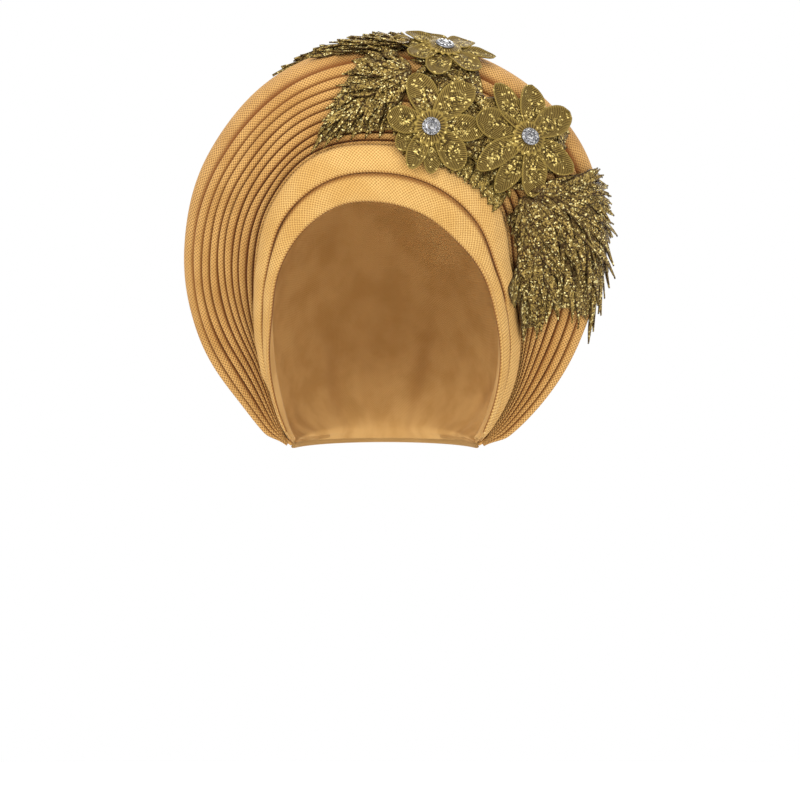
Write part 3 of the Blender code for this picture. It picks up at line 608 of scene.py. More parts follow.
def glitter_lace(name, dark, middle, bright, glint, size):
    """Metallic thread thick with glitter: each cell of about the glitter's size takes its own colour, dull or
    bright, and its own roughness and tilt. Its brightest cells are a painted glint, and painted shade darkens
    it to the dark colour where the mark open falls to 0."""
    make = Finish(name, 0.4, 0.55, gloss=0.25)
    distance, draw = make.cells(make.places(), 1.0 / size)
    colour = make.blend(make.step(draw[0], 0.15, 0.45), dark, middle)
    colour = make.blend(make.step(draw[0], 0.55, 0.80), colour, bright)
    # Painted glint: the brightest cells take the glint colour.
    colour = make.blend(make.step(draw[0], 0.90, 0.94), colour, glint)
    # Painted shade: towards the dark colour where the mark open falls.
    colour = make.blend(make.step(make.mark("open"), 0.0, 0.8, 0.92, 0.0), colour, dark)
    make.feed(make.shader, {"Roughness": make.step(draw[1], 0.0, 1.0, 0.22, 0.62)})
    height = make.sum("ADD", make.sum("SUBTRACT", 1.0, distance), make.times(draw[2], 0.9))
    return make.done(colour, height, 0.9, 0.0009)


def net_lace(name, thread, hole_shade, glint):
    """Fine net: threads along the borders of small uneven cells, painted shade between them in the holes, and
    loose glitter flecks painted as glints.
    """
    make = Finish(name, 0.6, 0.2, gloss=0.2)
    places = make.places()
    cells = make.node("TexVoronoi", {"Vector": places, "Scale": 560.0}, feature="DISTANCE_TO_EDGE")
    threads = make.step(cells["Distance"], 0.05, 0.20, 1.0, 0.0)
    _, draw = make.cells(places, 1100.0)
    # Painted shade in the holes between the threads, and painted glints in a few cells.
    colour = make.blend(make.step(draw[0], 0.86, 0.92), make.blend(threads, hole_shade, thread), glint)
    return make.done(colour, threads, 0.8, 0.0006)


def petal_lace(name, net, rim, dark, glint):
    """Embroidered petal: a satin-stitched rim with fine cross threads, a duller net inside it, and a patch of
    glitter down the middle. The marks rim and patch say where each lies, and the UV map gives the threads.
    The glitter's brightest flecks, and loose flecks over the whole petal, are painted glints."""
    make = Finish(name, 0.55, 0.35, gloss=0.15)
    _, aside, out = make.weave()
    lean = make.sum("MULTIPLY_ADD", make.sum("ABSOLUTE", aside), -0.8, out)
    thread = make.step(make.wave(lean, 0.0013), -0.9, 0.6)
    places = make.places()
    _, draw = make.cells(places, 1000.0)
    colour = make.blend(make.mark("rim"), make.blend(thread, dark, net), rim)
    sparkle = make.blend(make.step(draw[0], 0.35, 0.75), dark, rim)
    # Painted glint: the patch's brightest cells.
    sparkle = make.blend(make.step(draw[0], 0.82, 0.90), sparkle, glint)
    where = make.times(make.mark("patch"), make.step(make.noise(places, 260.0), 0.36, 0.52))
    colour = make.blend(where, colour, sparkle)
    # Painted glint: loose bright flecks over the whole petal.
    loose = make.sum("GREATER_THAN", draw[1], 0.965)
    colour = make.blend(make.times(loose, 0.8), colour, glint)
    height = make.sum("ADD", make.times(thread, 0.6), make.times(where, draw[2]))
    return make.done(colour, height, 0.8, 0.0006)


def cut_stone_finish():
    """Foil-backed cut glass: a bright mirror under each facet, with painted reflection in its colour, near
    black or pale grey from patch to patch as facets mirror dark or bright surroundings.
    """
    make = Finish("cut stone", 0.06, 0.85)
    make.feed(make.shader, {"Coat Weight": 1.0, "Coat Roughness": 0.03})
    _, draw = make.cells(make.places(), 1500.0)
    # Painted reflection: dark and pale grey patches.
    return make.done(make.blend(make.step(draw[0], 0.2, 0.8), (0.045, 0.045, 0.05), (0.56, 0.55, 0.54)))


def setting_finish():
    """Grey metal, darker in uneven spots."""
    make = Finish("stone setting", 0.28, 0.9)
    return make.done(make.blend(make.noise(make.places(), 900.0), (0.10, 0.10, 0.11), (0.36, 0.36, 0.38)))


# Cloth: light and deep thread, pits, the weave's pitch in metres and the share of the pits' colour.
BAND_CLOTH = openwork_cloth(
    "band cloth", (0.665, 0.410, 0.138), (0.585, 0.335, 0.095), (0.300, 0.125, 0.022), 0.0020, 0.72
)
PLEAT_CLOTH = openwork_cloth(
    "pleat cloth", (0.610, 0.342, 0.106), (0.495, 0.258, 0.070), (0.170, 0.070, 0.014), 0.0020, 0.80
)
CAP_CLOTH = openwork_cloth(
    "cap cloth", (0.540, 0.310, 0.105), (0.450, 0.245, 0.075), (0.340, 0.165, 0.045), 0.0015, 0.18
)
# Glitter: dark, which is also its painted shade, middle, bright, a painted glint and the size of a fleck.
GLITTER_LACE = glitter_lace(
    "glitter lace", (0.046, 0.020, 0.004), (0.215, 0.142, 0.034), (0.460, 0.318, 0.086),
    (0.980, 0.840, 0.380), 0.0009
)
EDGING_LACE = glitter_lace(
    "edging lace", (0.080, 0.050, 0.010), (0.280, 0.185, 0.042), (0.460, 0.320, 0.080),
    (0.980, 0.820, 0.340), 0.0008
)
# Petals: net, rim, dark and a painted glint. Net: thread, the painted shade in its holes and a painted glint.
PETAL_LACE = petal_lace(
    "petal lace", (0.200, 0.132, 0.030), (0.310, 0.215, 0.050), (0.052, 0.030, 0.005), (0.850, 0.660, 0.220)
)
NET_LACE = net_lace("net lace", (0.230, 0.150, 0.035), (0.050, 0.024, 0.004), (0.900, 0.720, 0.280))
CUT_STONE = cut_stone_finish()
SETTING = setting_finish()


# Pleated fan


def pleat_lines(angles):
    """Shares of the way out at which the pleats meet, a row for each line: the table's, evened out over 8
    degrees each way, and a small uneven wave."""
    known = np.radians(PLEAT_LINES[:, 0])
    shifts = np.radians(np.linspace(-8, 8, 9))
    rows = [0 * angles]
    for column in range(1, PLEAT_LINES.shape[1]):
        values = [np.interp(angles + shift, known, PLEAT_LINES[:, column]) for shift in shifts]
        wander = 0.007 * ripple(angles, (0.55, 0.9, 1.5), SEED + column) * climb(angles, 0.5)
        rows.append(np.mean(values, axis=0) + wander)
    rows.append(0 * angles + 1)
    return np.array(rows)


def build_fan():
    """Ten rolled pleats over a quarter of an ellipse. Each pleat's cross-section goes by PLEAT_ROLL between
    its two lines, and its outer edge overhangs the next pleat. The rolls follow the angle round the face."""
    angles = CORNER_ANGLE * np.linspace(-FAN_END, FAN_END, 470)
    edges = np.arcsin(pleat_lines(angles))
    reach = fan_reach(angles)
    rows, cloth, lit = [], [], []
    run = 0.0
    last = len(edges) - 2
    for pleat in range(last + 1):
        roll = OUTER_ROLL if pleat == last else PLEAT_ROLL
        width = edges[pleat + 1] - edges[pleat]
        swell = 1 + 0.10 * ripple(angles, (0.7, 1.3, 2.1), PLEAT_SEED + pleat)
        rise = np.minimum(PLEAT_RISE * 0.95, 0.62 * width * reach) * swell
        turns = (edges[pleat] + width * roll[:, :1]).clip(-0.3, math.pi / 2)
        flat, normal = fan_profile(angles, turns)
        points = in_space(angles, flat + normal * (roll[:, 1:2] * rise)[..., None])
        over = lengths_along(points, 0, WEAVE_DEPTH)
        middle = centred(lengths_along(points, 1, WEAVE_DEPTH)[len(roll) // 2][None, :])
        rows.append(points)
        cloth.append(joined(middle, run + over))
        lit.append(np.broadcast_to(roll[:, 2:3], turns.shape))
        run += over.mean(axis=1)[-1]
    turns, _ = np.broadcast_arrays(np.linspace(0.0, math.pi / 2, 7)[:, None], angles)
    flat, normal = fan_profile(angles, turns)
    inner = in_space(angles, flat - normal * FAN_WALL)
    outer, inner = draw_together([np.concatenate(rows), inner], angles, 0.16, 0.70)
    points, faces = wall(outer, inner)
    inner_cloth = joined(centred(lengths_along(inner, 1)), lengths_along(inner, 0))
    cloth = np.concatenate(cloth + [inner_cloth])
    # Painted shade: by each pleat's open column, and evenly on the inner face.
    marks = {"open": np.concatenate(lit + [np.full(turns.shape, 0.6)])}
    piece = new_piece("pleated_fan_cloth", points, faces, PLEAT_CLOTH, "pleated_fan",
                      cloth, marks)


# Brow strips and cheek panel


# A folded strip's section, as places round it: the share across, the height as a share of the crown, the
# depth as a share of the wall, and how open to light it is.
# The open column is painted into the cloth's colour as shade, at the strip's folds and on its underside.
STRIP_SHAPE = np.array((
    # share, lift, sink, open
    (0.000, 0.00, 0.55, 0.30),
    (0.000, 0.00, 0.30, 0.60),
    (0.012, 0.05, 0.08, 0.85),
    (0.045, 0.20, 0.00, 0.90),
    (0.10, 0.48, 0.00, 1.00),
    (0.20, 0.76, 0.00, 1.00),
    (0.32, 0.93, 0.00, 1.00),
    (0.45, 1.00, 0.00, 1.00),
    (0.58, 0.97, 0.00, 1.00),
    (0.70, 0.85, 0.00, 1.00),
    (0.80, 0.66, 0.00, 1.00),
    (0.89, 0.42, 0.00, 1.00),
    (0.955, 0.18, 0.00, 0.90),
    (0.988, 0.05, 0.08, 0.85),
    (1.000, 0.00, 0.35, 0.60),
    (1.000, 0.00, 0.70, 0.20),
    (0.94, 0.00, 1.00, 0.00),
    (0.50, 0.00, 1.00, 0.30),
    (0.06, 0.00, 1.00, 0.30),
    (0.000, 0.00, 0.80, 0.00),
))


def folded_strip(start, end, wall_, crown):
    """Rings of a strip folded over at both long edges, by STRIP_SHAPE. A place between the edges is drawn in
    from them where the strip is thin, so that the folds stay round."""
    along, out = across(start, end)
    width = np.linalg.norm(end - start, axis=-1, keepdims=True)
    edge = np.minimum(0.5 * wall_, 0.25 * width)
    swell = crown * np.minimum(1.0, width / 0.012)
    rings = []
    for share, lift, sink, _ in STRIP_SHAPE:
        inset = edge * (1 - 2 * share) * min(1.0, 2.2 * min(1 - sink, sink + 0.5) if 0 < share < 1 else 0.0)
        rings.append(start + along * (share * width + inset) + out * (swell * lift - wall_ * sink))
    return np.array(rings)


def build_strip(node, angles, start, end, wall_, crown, wrinkle, seed,
                tuck_in=None, shaded=0.0):
    """A folded strip of cloth along the face: its ring section swept along the angle, with a few long shallow
    wrinkles that run slantwise across its face. tuck_in gives, by angle, how far the strip sinks under its
    neighbour, as a share of its wall, and shaded gives painted shade on its face towards its outer edge, the
    shadow of the strip that overhangs it. The strip also takes painted shade towards the jaw corners."""
    share, _, sink, light = STRIP_SHAPE.T[:, :, None]
    slant = angles[None, :] + 0.35 * share
    dent = ripple(slant, (1.1, 2.3, 3.7), seed) * np.sin(np.pi * share) * (sink < 0.05) * climb(angles, 0.8)
    _, out = across(start, end)
    rings = folded_strip(start, end, wall_, crown) + out[None] * (wrinkle * dent)[..., None]
    dive = wall_ * (tuck_in(angles) if tuck_in else 0 * angles)[:, None]
    points, = draw_together([in_space(angles, rings - out[None] * dive[None])], angles, 0.10, 0.75)
    middle = centred(lengths_along(points, 1, WEAVE_DEPTH)[7][None, :])
    cloth = joined(middle, lengths_along(points, 0, WEAVE_DEPTH))
    ends = ease_in(np.abs(angles), CORNER_ANGLE - 0.12, CORNER_ANGLE)
    hem = (np.abs(share - 0.5) > 0.499) * (sink < 0.6) * 1.0
    # Painted shade: towards the outer edge by shaded, and towards the jaw corners by ends.
    lit = light * (1 - shaded * ease_in(share, 0.60, 0.80) * (sink < 0.1))
    marks = {"open": lit * (1 - 0.6 * ends), "hem": np.broadcast_to(hem, points.shape[:2])}
    faces = tube_faces(*points.shape[:2])
    piece = new_piece(f"{node}_cloth", points, faces, BAND_CLOTH, node, cloth, marks)


def panel_share(angles):
    """0 before the cheek panel and 1 along it, with a smooth step between."""
    return ease_in(angles, PANEL_FROM - 0.5, PANEL_FROM)[:, None]


def upper_ends(angles):
    """0 along the upper strip and 1 at its two ends, which lie under their neighbours."""
    return ease_in(-angles, -UPPER_FROM - 0.14, -UPPER_FROM) + ease_in(angles, UPPER_TO - 0.16, UPPER_TO)


def build_bands():
    """The two strips and the cheek panel, each between two of the outline curves."""
    angles = np.linspace(-STRIP_END, STRIP_END, 420) * CORNER_ANGLE
    fold, thin = fold_curve(angles), slim(angles)
    along, out = across(fold, band_curve(angles))
    sunk = 0.45 * (UPPER_WALL + PANEL_WALL * panel_share(angles)) * thin + 3 * GAP
    end = fold + along * STRIP_TUCK * thin - out * sunk
    build_strip("brow_band_lower", angles, face_curve(angles), end, LOWER_WALL * thin, STRIP_CROWN, 0.0005,
                STRIP_SEED, shaded=0.75)

    angles = np.linspace(UPPER_FROM, UPPER_TO, 360)
    fold = fold_curve(angles)
    close = 1 - 0.75 * ease_in(angles, UPPER_TO - 0.22, UPPER_TO)[:, None]
    band = fold + (band_curve(angles) - fold) * close
    build_strip("brow_band_upper", angles, fold, band, UPPER_WALL * slim(angles), STRIP_CROWN, 0.0007,
                STRIP_SEED + 1, upper_ends)

    angles = np.linspace(PANEL_FROM, FAN_END * CORNER_ANGLE, 150)
    fold, band = fold_curve(angles), band_curve(angles)
    along, out = across(fold, band)
    level = UPPER_WALL * slim(angles) * (1 - 0.5 * ease_in(angles, UPPER_TO, UPPER_TO + 0.2)[:, None]) + GAP
    start, end = fold + along * GAP - out * level, band - out * level
    build_strip("cheek_panel", angles, start, end, PANEL_WALL * slim(angles), 0.0003, 0.0002,
                STRIP_SEED + 2)


# Cap, back wrap and nape band


def hood(way, rows, corner):
    """Arcs from one jaw corner over the apex to the other. Each leaves the corner outward, is widest at its
    half width and closes over the apex, as a horseshoe does. rows gives apex y, apex z and half width."""
    jaw_half, jaw_y, jaw_z = corner
    apex_y, apex_z, half = (rows[:, column, None] for column in range(3))
    lean = np.arccos(np.minimum(1.0, jaw_half / half))
    swing = np.pi + lean - way * (np.pi + 2 * lean)
    lift = (np.sin(swing) + np.sin(lean)) / (1 + np.sin(lean))
    return joined(half * np.cos(swing), jaw_y + (apex_y - jaw_y) * lift, jaw_z + (apex_z - jaw_z) * lift)


def finer(table, count):
    """A table's rows, with this many rows read off along each of its columns by the smooth curve."""
    known = np.arange(len(table))
    at = np.linspace(0, len(table) - 1, count)
    return np.stack([smooth(known, table[:, column], at) for column in range(table.shape[1])], axis=1)


def room_for_cap(angles, y):
    """Radius of the inner faces of the strips and the fan at these angles and depths: a line through the
    strips' two edges and seven points of the fan's quarter ellipse, read off at y."""
    known = np.linspace(-CORNER_ANGLE, CORNER_ANGLE, 121)
    face, fold = face_curve(known), fold_curve(known)
    thin = slim(known)
    _, out = across(face, fold)
    line = [face - out * LOWER_WALL * thin]
    along, out = across(fold, band_curve(known))
    stack = (UPPER_WALL + PANEL_WALL * panel_share(known) + LOWER_WALL) * thin + 3 * GAP
    line += [fold + along * STRIP_TUCK * thin - out * stack, fan_start(known)]
    for turn in np.radians([0, 15, 30, 45, 60, 75, 90]):
        flat, normal = fan_profile(known, np.full(known.shape, turn))
        line.append(flat - normal * FAN_WALL)
    line = np.array(line)
    depth = np.maximum.accumulate(line[..., 1], axis=0)
    depths = [np.interp(angles, known, row) for row in depth]
    radii = [np.interp(angles, known, row[:, 0] - CAP_EASE) for row in line]
    limit = radii[0]
    for step in range(1, len(line)):
        last_y, last_r = depths[step - 1], radii[step - 1]
        share = ((y - last_y) / np.maximum(depths[step] - last_y, 1e-6)).clip(0, 1)
        limit = np.where(y >= last_y, last_r + (radii[step] - last_r) * share, limit)
    return limit


def press_in(inner, outer):
    """Both faces of the cap, moved in towards the fan's centre where the outer one has no room."""
    angles = np.arctan2(outer[..., 0], outer[..., 2] + FAN_CENTRE_DROP)
    radius = np.hypot(outer[..., 0], outer[..., 2] + FAN_CENTRE_DROP)
    excess = (radius - room_for_cap(angles, outer[..., 1])).clip(0)
    excess[outer[..., 1] > rim_curve(angles)[..., 1]] = 0
    excess[np.abs(angles) > CORNER_ANGLE] = 0
    move = joined(np.sin(angles), 0, np.cos(angles)) * excess[..., None]
    return inner - move, outer - move


def build_cap():
    """The fitted cap: arcs from the face edge over the crown to the nape. Soft creases run down from the
    crown, deeper towards the nape."""
    count = 100
    way = np.linspace(0.004, 0.996, 241)
    angles = CORNER_ANGLE * (2 * way - 1)
    face = face_curve(angles)
    along, out = across(face, fold_curve(angles))
    start = in_space(angles, face + along * CAP_TUCK - out * 0.7 * LOWER_WALL * slim(angles))
    keep, depth, drop, width = CAP_ROWS.T
    depth = np.where(depth < 0, depth * BROW_FRONT, depth * HEAD_BACK)
    rows = joined(keep, depth, drop * JAW_DROP, width * HEAD_WIDTH / 2)
    nape_z = NAPE_RISE - JAW_DROP
    hems = [[0.0, NAPE_BACK, nape_z - drop * NAPE_BAND_HEIGHT, NECK_HALF + GAP] for drop in (-0.1, 0.8)]
    rows = finer(np.concatenate([rows, hems]), count)
    arcs = hood(way, rows[:, 1:], (NECK_HALF, CAP_CORNER_Y, -JAW_DROP))
    inner = arcs + rows[:, :1, None].clip(0) * (start - arcs[0])
    normal = normals_of(inner)
    down = np.linspace(0, 1, count)[:, None]
    crease = ripple(way + 0.02 * np.sin(9 * down), (5.0, 9.0, 14.0), CAP_SEED) * ease_in(down, 0.3, 0.9)
    crease = crease + 0.5 * ripple(down + 0.1 * way, (3.0, 5.0), CAP_SEED + 1) * ease_in(down, 0.2, 0.5)
    inner = inner + normal * (0.0006 * crease * np.sin(np.pi * way) ** 0.5)[..., None]
    outer = inner + normal * (CAP_WALL * (np.minimum(way, 1 - way) / 0.05).clip(0.3, 1))[:, None]
    hold = ease_in(down, 0.0, 0.12)[..., None]
    pressed = press_in(inner, outer)
    inner, outer = (grid + (moved - grid) * hold for grid, moved in zip((inner, outer), pressed))
    # Painted shade on both faces: even on the outer, and on the inner deeper in the creases and paler on
    # their ridges.
    lit = (0.6, 0.85 - 0.25 * crease)
    piece = draped_piece("cap_cloth", "cap", CAP_CLOTH, outer[::3], inner, lit, 0.45)


def build_wrap():
    """The cloth behind the outline: arcs from the rim to the nape, gathered into folds that run down to it. A
    fold is a rounded ridge with a narrow valley, the absolute value of an uneven sine to a low power."""
    count = 110
    way = np.linspace(0.0, 1.0, 361)
    angles = CORNER_ANGLE * (2 * way - 1)
    start = in_space(angles, rim_curve(angles) + np.array([-WRAP_WALL, GAP + 0.0005]))
    height = JAW_DROP + RIM_RISE - FAN_CENTRE_DROP
    keep, depth, rise, width, gather = WRAP_ROWS.T
    half = WRAP_TOP_WIDTH / 2
    rows = joined(keep, depth * WRAP_BACK, rise * height - JAW_DROP, width * half, gather)
    rows[0, 1:4] = start[180, 1], start[180, 2], half
    rows = finer(rows, count)
    corner = (NECK_HALF + 3 * WRAP_WALL, RIM_CORNER_Y + 2 * WRAP_WALL, NAPE_BAND_HEIGHT / 2 - JAW_DROP)
    arcs = hood(way, rows[:, 1:4], corner)
    outer = arcs + rows[:, :1, None].clip(0) * (start - arcs[0])
    normal = normals_of(outer)
    down, gather = np.linspace(0, 1, count)[:, None], rows[:, 4:5]
    drift = 0.018 * np.sin(7 * down + 11 * way) + 0.012 * ripple(way + 0 * down, (2.0, 3.0), WRAP_SEED)
    broad = np.abs(np.sin(np.pi * (10 * way + 10 * drift))) ** 0.7 - 0.6
    fine = np.abs(np.sin(np.pi * (23 * way + 14 * drift + 0.3))) ** 0.8 - 0.6
    fold = broad * 0.0036 + fine * 0.0014 * ease_in(down, 0.35, 0.8)
    fold = gather * np.sin(np.pi * way) ** 0.5 * fold
    sag = 0.0016 * ripple(down * 1.3 + 0.25 * np.cos(2 * np.pi * way), (1.5, 2.5), WRAP_SEED + 1)
    outer = outer + normal * (fold + sag * ease_in(down, 0.05, 0.3) * np.sin(np.pi * down))[..., None]
    inner = (outer - normal * WRAP_WALL)[::4]
    # Painted shade and light: the outer face darker in the gathers' valleys and paler on their ridges, the
    # inner face evenly shaded.
    lit = ((0.78 + 0.5 * broad * gather).clip(0.2, 1), 0.6)
    piece = draped_piece("back_wrap_cloth", "back_wrap", PLEAT_CLOTH, outer, inner, lit, 0.5)


# Section of the hem round the nape: the share down it, and how far it stands out as a share of its wall.
NAPE_SECTION = (
    # share, out
    (0.0, 0.0), (0.0, 0.6), (0.06, 0.92), (0.12, 1.0), (0.20, 0.80), (0.35, 1.12), (0.50, 1.22),
    (0.65, 1.12), (0.80, 0.80), (0.88, 1.0), (0.94, 0.92), (1.0, 0.6), (1.0, 0.0),
)


def build_nape_band():
    """The hem round the nape: a rounded section carried along the arc, with small puckers at its stitch
    lines."""
    way = np.linspace(0.12, 0.88, 241)
    apex = np.array([[NAPE_BACK, NAPE_RISE - JAW_DROP, NECK_HALF + GAP]])
    row = hood(way, apex, (NECK_HALF, CAP_CORNER_Y, -JAW_DROP))[0]
    side = joined(row[:, 0] / NECK_HALF**2, (row[:, 1] - CAP_CORNER_Y) / NAPE_BACK**2, 0)
    side /= np.linalg.norm(side, axis=-1, keepdims=True)
    near = row + side * (CAP_WALL + 3 * GAP)
    height = NAPE_BAND_HEIGHT * (0.4 + 0.6 * np.sin(np.pi * way))[:, None]
    pucker = 0.00025 * ripple(way, (38.0, 61.0), NAPE_SEED)[:, None]
    down = np.array([0.0, 0.0, -1.0])
    points = np.array([near + side * (NAPE_BAND_WALL * out + pucker * (out > 0.9)) + down * height * share
                       for share, out in NAPE_SECTION])
    over = lengths_along(points, 0).mean(axis=1, keepdims=True)
    cloth = joined(centred(lengths_along(points, 1)), over)
    # Painted shade in the grooves at the stitch lines, and a little over the rest.
    lit = np.array([[0.3 if 0.7 < out < 0.9 else 0.9] for _, out in NAPE_SECTION])
    piece = new_piece("nape_band_cloth", points, tube_faces(*points.shape[:2]), CAP_CLOTH,
                      "nape_band", cloth, {"open": np.broadcast_to(lit, points.shape[:2])})


# Lace leaves


def settled(turns):
    """How much lower the lace lies where the outermost pleat rounds off to the rim."""
    return 0.0030 * ease_in(turns, 1.10, 1.50)


LEAF_STEPS, LEAF_STRANDS = 13, 7
LEAF_THICKNESS = 0.0006


def leaf_spray(name, node, starts, tips, widths, heights, bends, lifts, rolls, finish=GLITTER_LACE):
    """Many pointed leaves as one piece, laid over the fan from (angle, turn) to (angle, turn), each a thin
    closed sheet of its own. A leaf's middle line runs with a sideways bend, its width swells and narrows as a
    sine, it is ridged along the middle, and it takes painted shade at its foot and along its edges."""
    way = np.linspace(0, 1, LEAF_STEPS)[None, :, None]
    side = np.linspace(-1, 1, LEAF_STRANDS)[None, None, :]
    measures = (widths, heights, bends, lifts, rolls)
    widths, heights, bends, lifts, rolls = (np.broadcast_to(values, len(starts))[:, None, None]
                                            for values in measures)
    starts, tips = starts[:, None, None, :], tips[:, None, None, :]
    scale = scale_at((starts + tips) / 2)
    along = (tips - starts) * scale
    normal = joined(-along[..., 1], along[..., 0]) / np.linalg.norm(along, axis=-1, keepdims=True)
    half = widths * np.sin(np.pi * way**0.85).clip(0) ** 0.75 + 0.06 * widths * (1 - way)
    aside = (bends * 4 * way * (1 - way) + side * half)[..., None]
    place = starts + (tips - starts) * way[..., None] + normal * aside / scale
    ridge = (1 - side**2) * 0.0008 - 0.0004 * (np.abs(side) < 0.2)
    height = heights + ridge + lifts * way**2 + rolls * side * half - settled(place[..., 1])
    points = lay(place[..., 0], place[..., 1], height)
    # Painted shade at each leaf's foot and along its edges, through the mark open.
    lit = (0.20 + 0.80 * ease_in(way, 0.0, 0.60)) * (1 - 0.95 * side**2)
    piece = new_piece(name, points, many_grids(*points.shape[:3]), finish, node,
                      marks={"open": np.broadcast_to(lit, points.shape[:3])}, closed=False)
    thicken(piece, LEAF_THICKNESS)


def by_turn(pairs):
    """(angle, turn) in radians of places given by angle in degrees and radius as a share of RIM_RISE."""
    pairs = np.asarray(pairs, float)
    angles = np.radians(pairs[:, 0])
    return joined(angles, turn_of(angles, RIM_RISE * pairs[:, 1]))


# Tips of each spray's outer leaves, from one end of its edge to the other.
SPRAYS = {
    # root, then tips: angle, radius
    "top": ((6.0, 0.955), (
        (1.7, 1.046), (-1.5, 1.026), (-4.4, 1.030), (-7.5, 1.022), (-10.0, 1.034), (-12.0, 1.018),
        (-14.0, 1.036), (-16.0, 1.004), (-18.0, 1.014), (-20.0, 0.994), (-21.8, 1.000), (-24.0, 0.984),
        (-26.6, 0.984),
        (-24.0, 0.968), (-21.0, 0.962), (-18.0, 0.950), (-15.0, 0.955), (-12.5, 0.938), (-10.0, 0.946),
        (-7.0, 0.930), (-4.0, 0.938), (-1.0, 0.922),
    )),
    "left": ((7.0, 0.860), (
        (-3.0, 0.965), (-5.5, 0.935), (-8.0, 0.900), (-10.8, 0.855), (-13.0, 0.820), (-15.0, 0.780),
        (-17.5, 0.752), (-19.5, 0.715), (-22.5, 0.672), (-26.7, 0.628), (-22.0, 0.626), (-17.0, 0.632),
        (-12.0, 0.625), (-7.0, 0.622), (-2.0, 0.620), (3.0, 0.625),
    )),
    "right": ((53.0, 0.665), (
        (60.5, 0.950), (62.8, 0.990), (66.2, 0.985), (68.6, 0.962), (71.5, 0.958), (74.5, 0.938),
        (77.5, 0.935), (80.5, 0.925), (84.0, 0.935), (86.5, 0.875), (89.5, 0.850), (94.0, 0.820),
        (98.5, 0.803), (102.0, 0.806),
        (101.5, 0.764), (98.5, 0.735), (97.0, 0.712), (97.0, 0.665), (98.5, 0.622), (101.5, 0.612),
        (104.5, 0.602), (107.0, 0.562), (99.0, 0.535), (93.6, 0.505), (88.5, 0.512), (84.0, 0.522),
        (79.0, 0.530), (73.8, 0.535), (68.0, 0.540), (63.0, 0.548), (58.2, 0.556),
    )),
}
LEAF_HALF_WIDTH = 0.0020
# Layers of a spray's leaves, from its edge inwards: where a leaf starts and ends on the way from the root to
# the edge, whether it points between two tips, how high it lies and how far it leans aside, in degrees.
LEAF_LAYERS = (
    # start, end, between, level, lean
    (0.60, 1.00, False, 0.0003, 5),
    (0.52, 0.88, True, 0.0012, 14),
    (0.38, 0.76, False, 0.0020, 22),
    (0.28, 0.62, True, 0.0027, 22),
    (0.14, 0.48, False, 0.0033, 24),
    (0.04, 0.34, True, 0.0038, 24),
)
# How far a spray's leaf tips lift off, in metres, how much more those past the rim do, and how steeply the
# leaves roll about their own length, as a slope.
SPRAY_FORM = {
    # lift, lift past the rim, roll
    "top": (0.0034, 0.0, 1.2),
    "left": (0.0016, 0.0, 1.3),
    "right": (0.0022, 0.0055, 1.4),
}


def turned(x, y, angle):
    """Places turned clockwise about the origin by an angle."""
    return joined(x * np.cos(angle) + y * np.sin(angle), y * np.cos(angle) - x * np.sin(angle))


def turned_aside(starts, tips, lean):
    """The tips, each turned about its start by an angle in the surface."""
    scale = scale_at((starts + tips) / 2)
    arm = (tips - starts) * scale
    return starts + turned(arm[:, 0], arm[:, 1], -lean) / scale


def build_spray(name):
    """A spray of leaves on a net. The leaves lie in layers like feathers, the inner ones over the outer ones'
    feet, and lean to one side and the other in turn, as far as the spray's edge leaves room."""
    root, tips = SPRAYS[name]
    lift, rim_lift, roll = SPRAY_FORM[name]
    draw = np.random.default_rng(SEED + len(name))
    edge = by_turn(tips)
    start = by_turn([root])[0]
    room = np.concatenate([start[None], start + 0.97 * (edge - start)])
    parts = []
    for begin, reach, is_between, level, lean in LEAF_LAYERS:
        targets = (edge[1:] + edge[:-1]) / 2 if is_between else edge
        count = len(targets)
        vary = 1 + 0.10 * (draw.random((count, 2)) - 0.5)
        feet = start + (targets - start) * begin * vary[:, :1]
        straight = start + (targets - start) * reach * (vary[:, 1:] if reach < 1 else 1)
        side = np.where(np.arange(count) % 2 == 0, 1, -1) * (0.5 + draw.random(count))
        ends, is_set = straight.copy(), np.full(count, reach == 1)
        for share in (1.0, -1.0, 0.4, -0.4):
            leaning = turned_aside(feet, straight, share * np.radians(lean) * side)
            fits = inside(leaning, room) & ~is_set
            ends[fits] = leaning[fits]
            is_set |= fits
        parts.append((feet, ends, level + 0.0006 * draw.random(count)))
    feet, ends, levels = (np.concatenate(part) for part in zip(*parts))
    count = len(feet)
    widths = LEAF_HALF_WIDTH * (0.8 + 0.5 * draw.random(count))
    bends = 0.0030 * (draw.random(count) - 0.5)
    lifts = (lift + rim_lift * ease_in(ends[:, 1], 1.05, 1.45)) * (0.3 + 0.7 * draw.random(count))
    rolls = roll * (draw.random(count) - 0.5)
    node = f"lace_spray_{name}"
    leaf_spray(f"lace_leaves_{name}", node, feet, ends, widths, lace_height(1) + levels, bends, lifts, rolls)
    net_bed(f"lace_net_{name}", node, start, edge, 0.90)


def net_bed(name, node, middle, edge, reach):
    """The net that carries the leaves: a thin sheet laid on the pleats from its middle out to its edge."""
    fine = np.linspace(0, len(edge) - 1, 4 * len(edge) - 3)
    edge = joined(*(np.interp(fine, np.arange(len(edge)), column) for column in edge.T))
    share = np.linspace(0.02, reach, 26)[:, None, None]
    place = middle + (edge[None] - middle) * share
    base = lace_height(1) - settled(place[..., 1])
    grids = [lay(place[..., 0], place[..., 1], base + lift) for lift in (0.0004, 0.0)]
    points, faces = wall(*grids)
    net = new_piece(name, points, faces, NET_LACE, node)


